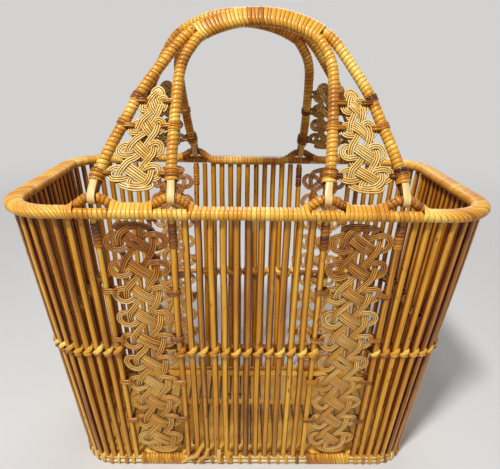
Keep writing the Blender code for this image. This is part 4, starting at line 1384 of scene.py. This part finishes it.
@dataclass
class BodyPlaits:
    """The four plaits in the gaps of the cage, with their ties and the dark cane beside them, whose darkness is also
    painted shadow under the rim.
    """

    layout: Layout
    weave: Weave = Weave(10)
    head_height: float = 0.2592
    foot_height: float = 0.0376
    tie_units: tuple[int, ...] = (2, 4, 6, 8)
    tie_pitch: float = 0.0017
    cuff: tuple[float, float] = (0.2540, 0.2765)

    @property
    def slope_length(self) -> float:
        """Length of a long side up its slope, from the upper hoop to the rim."""
        return (self.layout.rim_height - self.layout.upper_hoop) / math.cos(self.layout.tilt)

    def up_slope(self, height: float) -> float:
        """Return how far up the slope a height is."""
        return (height - self.layout.upper_hoop) / math.cos(self.layout.tilt)

    def stakes_beside(self, height: Array, sign: int) -> tuple[Array, Array]:
        """Return the places of the near and far stakes, signed, at distances up the slope."""
        layout = self.layout
        share = height / self.slope_length
        near = layout.base_near + (layout.inner_eye - layout.base_near) * share
        far = layout.base_flank + (layout.outer_eye - layout.base_flank) * share
        return sign * near, sign * far

    def space(self, sign: int) -> object:
        """Return the function that gives the edges of the space on one side."""
        flank = self.layout.stake_radius + 0.0006

        def edges(height: Array) -> tuple[Array, Array]:
            """Return the left and right edges at distances up the slope."""
            low, high = sorted(self.stakes_beside(height, sign), key=lambda side: float(np.mean(side)))
            return low + flank, high - flank

        return edges

    def build(self) -> None:
        """Build and dress the plaits."""
        layout = self.layout
        strand_finish, cane_finish = PLAIT_FINISH.material(), CANE_FINISH.material()
        head, foot = self.up_slope(self.head_height), self.up_slope(self.foot_height)
        pitch = (head - foot) / (self.weave.units - 1)
        stand = Matrix.Translation((0, -layout.base.half_depth, layout.upper_hoop)) @ Matrix.Rotation(
            math.pi / 2 + layout.tilt, 4, "X"
        )
        for face in Face:
            turn = Matrix.Rotation(0 if face is Face.FRONT else math.pi, 4, "Z")
            for sign in (-1, 1):
                side = Side(sign if face is Face.FRONT else -sign)
                word = f"{face.name.lower()}_{side.name.lower()}"
                plait = Plait(f"weave_{word}", self.weave, head, pitch, self.space(sign), (0.30, 0.62), 0.32)
                piece = plait.make(turn @ stand, 0.22)
                hand_over(piece, strand_finish, Body.BASKET, Slot.BODY_PLAITS, f"plait_{word}")
                ties = self.ties(word, sign, plait) + self.cuffs(word, sign)
                ties = thickened(joined(f"plait_ties_{word}", ties))
                ties.data.transform(turn @ stand)
                hand_over(ties, cane_finish, Body.BASKET, Slot.WRAPS)

    def ties(self, word: str, sign: int, plait: Plait) -> list[Mesh]:
        """Return the bindings between the plait's loops and the stakes beside it."""
        made = []
        for number in self.tie_units:
            for share in (-1, 1):
                name = f"tie_{word}_{number}_{share}"
                rng = seeded(name)
                height = plait.height(np.array((-number + 0.10 + rng.normal(0, 0.04),)))
                low, high = sorted(float(x[0]) for x in self.stakes_beside(height, sign))
                stake = low if share < 0 else high
                loop = float(plait.across(np.array((share * 0.95,)), height)[0])
                half = self.tie_pitch * 1.6
                up = np.array((0.0, 1.0, 0.0))
                ends = [np.array((x, float(height[0]), 0.0)) for x in (stake, loop)]
                lines = [np.array([end - up * half, end + up * half]) for end in ends]
                made.append(wind(name, Route(lines[0], lines[1], lines[1] - lines[0]), Turns(
                    pitch=self.tie_pitch, reach=(0.0031, 0.0030), thickness=0.0007, seam=0.5,
                    tone=0.55 + rng.normal(0, 0.1), stray=0.25, rings=22,
                )))
        return made

    def cuffs(self, word: str, sign: int) -> list[Mesh]:
        """Return the cane on the tops of the stakes beside the plait, wound dark: dark cane, and painted shadow under
        the rim.
        """
        low, high = (self.up_slope(height) for height in self.cuff)
        made = []
        for number in range(2):
            points = np.array([
                (float(self.stakes_beside(np.array(height), sign)[number]), height, 0.0) for height in (low, high)
            ])
            made.append(wind(f"cuff_{word}_{number}", single(points, np.array((1.0, 0.0, 0.0))), Turns(
                pitch=0.0031, reach=(0.0030, 0.0030), thickness=0.0006, seam=0.5, tone=0.72, even=True,
            )))
        return made


@dataclass
class Handle:
    """One handle: two arches, cane, hooks and two plaits. Its own space has its foot at the origin."""

    layout: Layout
    face: Face
    rod_radius: float = 0.0037
    crown_height: float = 0.1610
    crown_radius: float = 0.0924
    sway: float = 0.0080
    grip_half_angle: float = math.radians(35)
    hook_radius: float = 0.0048
    hook_thickness: float = 0.0015
    hook_width: float = 0.0064
    hook_limb: float = 0.0190
    strap_curve: float = 95.0
    arch_foot: float = 0.0050
    binding_foot: float = 0.0125
    ring_pitch: float = 0.0018
    weave: Weave = Weave(4)
    outer_leg_shares: tuple = (
        (0.508, 0.851), (0.571, 0.789), (0.629, 0.720), (0.763, 0.547), (0.858, 0.373), (0.933, 0.233),
        (0.983, 0.112),
    )
    inner_leg_shares: tuple = (
        (0.908, 0.804), (0.992, 0.739), (1.037, 0.665), (1.050, 0.560), (1.050, 0.373), (1.038, 0.186),
    )

    @property
    def body(self) -> Body:
        """The frame's body that it rides on."""
        return Body.FRONT_HANDLE if self.face is Face.FRONT else Body.BACK_HANDLE

    @property
    def inner_radius(self) -> float:
        """Radius of the inner arch's crown."""
        return self.crown_radius - 2 * self.rod_radius - 0.0003

    @property
    def stand(self) -> Matrix:
        """Takes the handle's own space to its place on the rim, leaning in."""
        depth = self.layout.rim.half_depth - self.layout.rod_offset
        grip_reach = self.rod_radius + 0.0003 + 0.0008
        lean = math.asin((depth - grip_reach - 0.0003) / self.crown_height)
        height = self.layout.rim_height + self.layout.eye_rise
        turn = Matrix.Rotation(0 if self.face is Face.FRONT else math.pi, 4, "Z")
        return turn @ Matrix.Translation((0, -depth, height)) @ Matrix.Rotation(-lean, 4, "X")

    def crown_point(self, radius: float, angle: float) -> tuple[float, float, float]:
        """Return a point of the crown, in the handle's plane."""
        return (radius * math.sin(angle), 0.0, self.crown_height - self.crown_radius + radius * math.cos(angle))

    def arch(self, radius: float, foot: float, shares: tuple) -> Array:
        """Return the smooth line of an arch from its left foot over the crown to its right foot."""
        right = [self.crown_point(radius, self.grip_half_angle)]
        right += [(foot * across, 0.0, self.crown_height * up) for across, up in shares]
        right.append((foot, 0.0, self.arch_foot))
        left = [(-x, y, z) for x, y, z in right[::-1]]
        angles = np.linspace(-self.grip_half_angle, self.grip_half_angle, 9)[1:-1]
        points = np.array(left + [self.crown_point(radius, angle) for angle in angles] + right)
        points[:, 0] += self.sway * points[:, 2] / self.crown_height
        return smooth_line(points, 0.0015)

    def arches(self) -> dict[str, Array]:
        """Return the lines of both arches by name."""
        return {
            "outer": self.arch(self.crown_radius, self.layout.outer_eye, self.outer_leg_shares),
            "inner": self.arch(self.inner_radius, self.layout.inner_eye, self.inner_leg_shares),
        }

    def travel_at(self, line: Array, height: float, sign: int) -> float:
        """Return how far along an arch a height of its left or right leg is."""
        travel = np.concatenate([[0], np.cumsum(np.linalg.norm(np.diff(line, axis=0), axis=1))])
        top = int(np.argmax(line[:, 2]))
        if sign < 0:
            return float(np.interp(height, line[: top + 1, 2], travel[: top + 1]))
        return float(np.interp(height, line[top:, 2][::-1], travel[top:][::-1]))

    def leg_at(self, line: Array, height: Array, sign: int) -> Array:
        """Return how far across an arch's left or right leg is at heights."""
        top = int(np.argmax(line[:, 2]))
        leg = line[: top + 1] if sign < 0 else line[top:][::-1]
        return np.interp(height, leg[:, 2], leg[:, 0])

    def side_of(self, sign: int) -> Side:
        """Return the side of the basket that a leg of the handle's own space stands on."""
        return Side(sign if self.face is Face.FRONT else -sign)

    def build(self) -> None:
        """Build and dress the handle."""
        word = self.face.name.lower()
        cane_finish, stake_finish = CANE_FINISH.material(), STAKE_FINISH.material()
        normal = np.array((0.0, 1.0, 0.0))
        arches = self.arches()
        for place, line in arches.items():
            piece = rod(f"{word}_{place}_arch", single(line, normal), self.rod_radius, step=0.003, tone=0.4)
            self.hand_over(piece, stake_finish, Slot.STAKES, f"{word}_handle_{place}_rod")
            self.hand_over(thickened(self.leg_cane(word, place, line)), cane_finish, Slot.WRAPS)
        self.hand_over(thickened(self.grip_cane(word)), cane_finish, Slot.WRAPS, f"{word}_handle_grip_wrap")
        rings = self.rings(word, arches)
        self.hand_over(thickened(joined(f"{word}_handle_rings", rings)), cane_finish, Slot.WRAPS)
        self.hooks(word, arches)
        self.plaits(word, arches, cane_finish)

    def hand_over(self, piece: Mesh, material: bpy.types.Material, slot: Slot, *nodes: str) -> None:
        """Put a piece of the handle's own space in its place, and finish it on the handle's body."""
        piece.data.transform(self.stand)
        hand_over(piece, material, self.body, slot, *nodes)

    def grip_edge(self, place: str, sign: int) -> float:
        """Return the angle on the crown where the grip's cane ends, farther out on the outer arch."""
        return sign * (self.grip_half_angle + (0.02 if place == "outer" else -0.02))

    def leg_cane(self, word: str, place: str, line: Array) -> Mesh:
        """Wind the legs of one arch up to the grip."""
        route = single(line, np.array((0.0, 1.0, 0.0)))
        strips = []
        for sign in (-1, 1):
            low = self.travel_at(line, self.binding_foot + 0.008, sign)
            radius = self.crown_radius if place == "outer" else self.inner_radius
            edge = self.crown_point(radius, self.grip_edge(place, sign))[2]
            high = self.travel_at(line, edge, sign)
            strips.append(wind(f"{word}_{place}_cane_{sign}", route, Turns(
                pitch=0.0038, reach=(self.rod_radius + 0.0004,) * 2, thickness=0.0004, seam=0.5, tone=0.30, even=True,
                stray=0.16,
            ), *sorted((low, high))))
        return joined(f"{word}_{place}_cane", strips)

    def grip_cane(self, word: str) -> Mesh:
        """Wind both arches together over the crown."""
        angles = np.linspace(-1, 1, 81) * (self.grip_half_angle + 0.01)
        lines = []
        for radius in (self.inner_radius, self.crown_radius):
            points = np.array([self.crown_point(radius, angle) for angle in angles])
            points[:, 0] += self.sway * points[:, 2] / self.crown_height
            lines.append(points)
        return wind(f"{word}_grip_cane", pair(*lines), Turns(
            pitch=0.0034, reach=(self.rod_radius + 0.0005,) * 2, thickness=0.0004, seam=0.5, tone=0.27, rings=20,
            stray=0.16,
        ))

    def rings(self, word: str, arches: dict[str, Array]) -> list[Mesh]:
        """Return the brown rings on the legs and the cane that holds the hooks."""
        places = {"outer": (0.0205, 0.060, 0.083), "inner": (0.0205, 0.058)}
        strips = []
        for place, line in arches.items():
            route = single(line, np.array((0.0, 1.0, 0.0)))
            for sign in (-1, 1):
                name = f"{word}_{place}_{sign}"
                foot, top = (self.travel_at(line, h, sign) for h in (self.binding_foot, self.binding_foot + 0.009))
                strips.append(wind(f"{name}_hook_cane", route, Turns(
                    pitch=0.0030, reach=(self.hook_radius + self.hook_thickness / 2 + 0.0003, 0.0050),
                    thickness=0.0006, seam=0.0, tone=0.24, even=True,
                ), *sorted((foot, top))))
                for number, height in enumerate(places[place]):
                    middle = self.travel_at(line, height + seeded(f"{name}_{number}").normal(0, 0.001), sign)
                    half = self.ring_pitch * (2.1 if number == 0 else 1.7)
                    reach = (0.0060, 0.0053) if number == 0 else (0.0046, 0.0046)
                    strips.append(wind(f"{name}_ring_{number}", route, Turns(
                        pitch=self.ring_pitch, reach=reach, thickness=0.0008, seam=0.25,
                        tone=0.55 + seeded(f"{name}_{number}_tone").normal(0, 0.06), stray=0.3,
                    ), middle - half, middle + half))
        return strips

    def lean_hook(self, hook: Mesh, line: Array, sign: int, eye: float) -> None:
        """Move a copied hook under its eye, and let its limbs follow the leg and curve round it.

        Args:
            hook: The copied hook, still at the origin.
            line: The arch that it belongs to.
            sign: The side of the arch that it stands on.
            eye: Place of its eye.
        """
        places = np.empty(len(hook.data.vertices) * 3)
        hook.data.vertices.foreach_get("co", places)
        places = places.reshape(-1, 3)
        limb = smooth_step(places[:, 2] / 0.005)
        places[:, 1] -= np.sign(places[:, 1]) * limb * self.strap_curve * places[:, 0] ** 2
        places[:, 0] += self.leg_at(line, np.maximum(places[:, 2], self.arch_foot), sign)
        hook.data.vertices.foreach_set("co", places.ravel())
        hook.data.update()
        log.debug("%s leans from %.4f", hook.name, sign * eye)

    def hooks(self, word: str, arches: dict[str, Array]) -> None:
        """Bend a pale strip under each eye, copied from the first one."""
        finish = HOOK_FINISH.material()
        master = self.master_hook()
        for place, eye in (("outer", self.layout.outer_eye), ("inner", self.layout.inner_eye)):
            for sign in (-1, 1):
                side = self.side_of(sign).name.lower()
                hook = master.copy()
                hook.data = master.data.copy()
                hook.name = f"{word}_{side}_{place}_strap"
                bpy.context.scene.collection.objects.link(hook)
                self.lean_hook(hook, arches[place], sign, eye)
                self.hand_over(hook, finish, Slot.HOOKS, f"{word}_handle_{side}_{place}_hook")
        bpy.data.objects.remove(master, do_unlink=True)

    def master_hook(self) -> Mesh:
        """Model one hook at the origin: a limb, a half turn under the eye and the other limb."""
        steps = 14
        deselect_all()
        bpy.ops.mesh.primitive_grid_add(x_subdivisions=6, y_subdivisions=6, size=1)
        hook = bpy.context.object
        hook.scale = (self.hook_width, self.hook_limb, 1)
        hook.rotation_euler = (math.pi / 2, 0, 0)
        hook.location = (0, -self.hook_radius, self.hook_limb / 2)
        bpy.ops.object.transform_apply(location=True, rotation=True, scale=True)
        bpy.ops.object.mode_set(mode="EDIT")
        bpy.ops.mesh.select_mode(type="EDGE")
        self.select_edges(hook, -self.hook_radius)
        bpy.ops.mesh.spin(steps=steps, angle=-math.pi, center=(0, 0, 0), axis=(1, 0, 0))
        self.select_edges(hook, self.hook_radius)
        for _ in range(6):
            bpy.ops.mesh.extrude_region_move(TRANSFORM_OT_translate={"value": (0, 0, self.hook_limb / 6)})
        bpy.ops.mesh.select_all(action="SELECT")
        bpy.ops.mesh.remove_doubles(threshold=WELD)
        bpy.ops.mesh.normals_make_consistent(inside=False)
        bpy.ops.object.mode_set(mode="OBJECT")
        self.dress_hook(hook)
        wall = hook.modifiers.new("wall", "SOLIDIFY")
        wall.thickness = self.hook_thickness
        wall.offset = 0
        bpy.ops.object.modifier_apply(modifier=wall.name)
        bevel = hook.modifiers.new("edges", "BEVEL")
        bevel.width = 0.0005
        bevel.segments = 2
        bpy.ops.object.modifier_apply(modifier=bevel.name)
        return hook

    def select_edges(self, hook: Mesh, depth: float) -> None:
        """Select the edges of the hook that lie level with the hinge at a depth."""
        bpy.ops.mesh.select_all(action="DESELECT")
        cage = bmesh.from_edit_mesh(hook.data)
        for edge in cage.edges:
            middle = (edge.verts[0].co + edge.verts[1].co) / 2
            edge.select_set(abs(middle.z) < 1e-5 and abs(middle.y - depth) < 1e-4)
        bmesh.update_edit_mesh(hook.data)

    def dress_hook(self, hook: Mesh) -> None:
        """Give the flat hook its place on the strip and its tone."""
        places = np.empty(len(hook.data.vertices) * 3)
        hook.data.vertices.foreach_get("co", places)
        places = places.reshape(-1, 3)
        angle = np.arctan2(-places[:, 2], -places[:, 1])
        below = places[:, 2] < 0
        along = np.where(below, angle * self.hook_radius, -np.sign(places[:, 1]) * -places[:, 2])
        along = np.where(~below & (places[:, 1] > 0), places[:, 2] + math.pi * self.hook_radius, along)
        log.info("hook reaches down to %.4f", places[:, 2].min())
        # The edge mask paints shade towards the hook's long edges, for a rounded look
        lay(hook, places, np.stack([places[:, 0], along], axis=1), 0.2, np.abs(places[:, 0]) * 2 / self.hook_width)

    def plaits(self, word: str, arches: dict[str, Array], tie_finish: bpy.types.Material) -> None:
        """Weave a plait between the legs at each side, and tie it to them."""
        finish = STRAW_FINISH.material()
        upright = Matrix.Rotation(math.pi / 2, 4, "X")
        for sign in (-1, 1):
            side = self.side_of(sign).name.lower()

            def edges(height: Array, sign: int = sign) -> tuple[Array, Array]:
                """Return the left and right edges of the space between the legs at heights."""
                legs = [self.leg_at(arches[place], height, sign) for place in ("inner", "outer")]
                low, high = legs if sign > 0 else legs[::-1]
                return low + 0.0052, high - 0.0052

            plait = Plait(f"{word}_{side}_weave", self.weave, 0.0765, 0.0190, edges, (0.50, 0.40))
            piece = plait.make(upright, 0.22)
            self.hand_over(piece, finish, Slot.HANDLE_PLAITS, f"{word}_handle_{side}_plait")
            ties = []
            for height in (0.019, 0.058, 0.079):
                for share in (-1, 1):
                    ties.append(self.plait_tie(f"{word}_{side}_{height}_{share}", plait, arches, sign, share, height))
            self.hand_over(thickened(joined(f"{word}_{side}_plait_ties", ties)), tie_finish, Slot.WRAPS)

    def plait_tie(self, name: str, plait: Plait, arches: dict[str, Array], sign: int, share: int,
                  height: float) -> Mesh:
        """Return the cane that ties a leg to the nearest loop of the plait.

        Args:
            name: Name of the tie, which also sets its random numbers.
            plait: The plait.
            arches: The lines of both arches.
            sign: The side that the plait is on.
            share: The edge of the plait that is tied, left or right.
            height: Height of the tie.

        Returns:
            The strip, still without its wall.
        """
        rng = seeded(name)
        place = "outer" if share == sign else "inner"
        leg = float(self.leg_at(arches[place], np.array((height,)), sign)[0])
        loop = float(plait.across(np.array((share * 0.93,)), np.array((height,)))[0])
        half = self.ring_pitch
        lines = [np.array([(x, 0.0, height - half), (x, 0.0, height + half)]) for x in (leg, loop)]
        return wind(name, Route(lines[0], lines[1], lines[1] - lines[0]), Turns(
            pitch=self.ring_pitch, reach=(0.0024, 0.0036), thickness=0.0007, seam=0.5,
            tone=0.6 + rng.normal(0, 0.08), stray=0.25, rings=22,
        ))


@dataclass(frozen=True)
class Studio:
    """The floor, the lamps, the world and the camera."""

    lens: float = 32.44
    camera_place: tuple[float, float, float] = (-0.0043, -0.4232, 0.3974)
    yaw: float = math.radians(0.9)
    pitch: float = math.radians(-21.7)
    roll: float = math.radians(0.9)
    floor_colour: str = "#D5D4D2"
    air_colour: str = "#D3D2D1"
    floor_size: float = 60.0

    def build(self) -> None:
        """Build the studio."""
        self.floor()
        self.lamp("key", (-0.45, -0.9, 1.75), 0.22, 36.0)
        self.lamp("fill", (1.2, -1.0, 0.9), 1.2, 3.5)
        self.lamp("rear", (0.3, 1.3, 1.2), 1.0, 9.0)
        world = bpy.data.worlds.new("studio")
        world.use_nodes = True
        nodes, links = world.node_tree.nodes, world.node_tree.links
        nodes["Background"].inputs["Color"].default_value = linear(self.air_colour)
        seen = nodes.new("ShaderNodeLightPath")
        either = nodes.new("ShaderNodeMath")
        either.operation = "MAXIMUM"
        links.new(seen.outputs["Is Camera Ray"], either.inputs[0])
        links.new(seen.outputs["Is Transmission Ray"], either.inputs[1])
        shown = nodes.new("ShaderNodeMath")
        shown.operation = "MAXIMUM"
        links.new(either.outputs[0], shown.inputs[0])
        links.new(seen.outputs["Is Glossy Ray"], shown.inputs[1])
        strength = nodes.new("ShaderNodeMapRange")
        strength.inputs["To Min"].default_value = 0.17
        links.new(shown.outputs[0], strength.inputs["Value"])
        links.new(strength.outputs[0], nodes["Background"].inputs["Strength"])
        bpy.context.scene.world = world
        bpy.context.scene.view_settings.view_transform = "Standard"
        self.camera()

    def floor(self) -> None:
        """Make the floor, which takes the colour of the air far from the basket."""
        deselect_all()
        bpy.ops.mesh.primitive_plane_add(size=self.floor_size)
        floor = bpy.context.object
        floor.name = "studio_floor"
        table = NodeTable("studio_floor")
        table.set(Base_Color=linear(self.floor_colour), Roughness=0.9)
        place = table.node("TexCoord").outputs["Object"]
        distance = table.node("VectorMath", {0: place}, operation="LENGTH").outputs["Value"]
        far = table.node(
            "MapRange", {"Value": distance, "From Min": 0.4, "From Max": 1.6}, interpolation_type="SMOOTHSTEP"
        ).outputs[0]
        seen = table.node("LightPath")
        shown = table.maths("MAXIMUM", seen.outputs["Is Camera Ray"], seen.outputs["Is Glossy Ray"])
        shown = table.maths("MAXIMUM", shown, seen.outputs["Is Transmission Ray"])
        glow = table.node("Emission", {"Color": linear(self.air_colour), "Strength": shown})
        blend = table.node("MixShader", {0: far, 1: table.shader.outputs[0], 2: glow.outputs[0]})
        table.tree.links.new(blend.outputs[0], table.tree.nodes["Material Output"].inputs["Surface"])
        floor.data.materials.append(table.material)

    def lamp(self, name: str, place: tuple, size: float, power: float) -> None:
        """Add a soft lamp that faces the basket."""
        lamp = bpy.data.lights.new(name, "AREA")
        lamp.size = size
        lamp.energy = power
        holder = bpy.data.objects.new(name, lamp)
        bpy.context.scene.collection.objects.link(holder)
        holder.location = place
        holder.rotation_euler = (Vector((0, 0, 0.15)) - Vector(place)).to_track_quat("-Z", "Y").to_euler()

    def camera(self) -> None:
        """Add the camera at the photograph's viewing angle."""
        ahead = Vector((
            math.sin(self.yaw) * math.cos(self.pitch), math.cos(self.yaw) * math.cos(self.pitch),
            math.sin(self.pitch),
        ))
        right = Vector((math.cos(self.yaw), -math.sin(self.yaw), 0))
        up = right.cross(ahead)
        level_right, level_up = right, up
        right = level_right * math.cos(self.roll) + level_up * math.sin(self.roll)
        up = -level_right * math.sin(self.roll) + level_up * math.cos(self.roll)
        data = bpy.data.cameras.new("camera")
        data.lens = self.lens
        data.sensor_width = 36.0
        camera = bpy.data.objects.new("camera", data)
        bpy.context.scene.collection.objects.link(camera)
        turn = Matrix((right, up, -ahead)).transposed().to_4x4()
        camera.matrix_world = Matrix.Translation(self.camera_place) @ turn
        bpy.context.scene.camera = camera


def main() -> None:
    """Build the basket and the studio round it."""
    logging.basicConfig(level=logging.INFO, format="%(name)s %(message)s")
    layout = Layout()
    Cage(layout).build()
    Rim(layout).build()
    Foundation(layout).build()
    BodyPlaits(layout).build()
    for face in Face:
        Handle(layout, face).build()
    Studio().build()


if __name__ == "__main__":
    main()
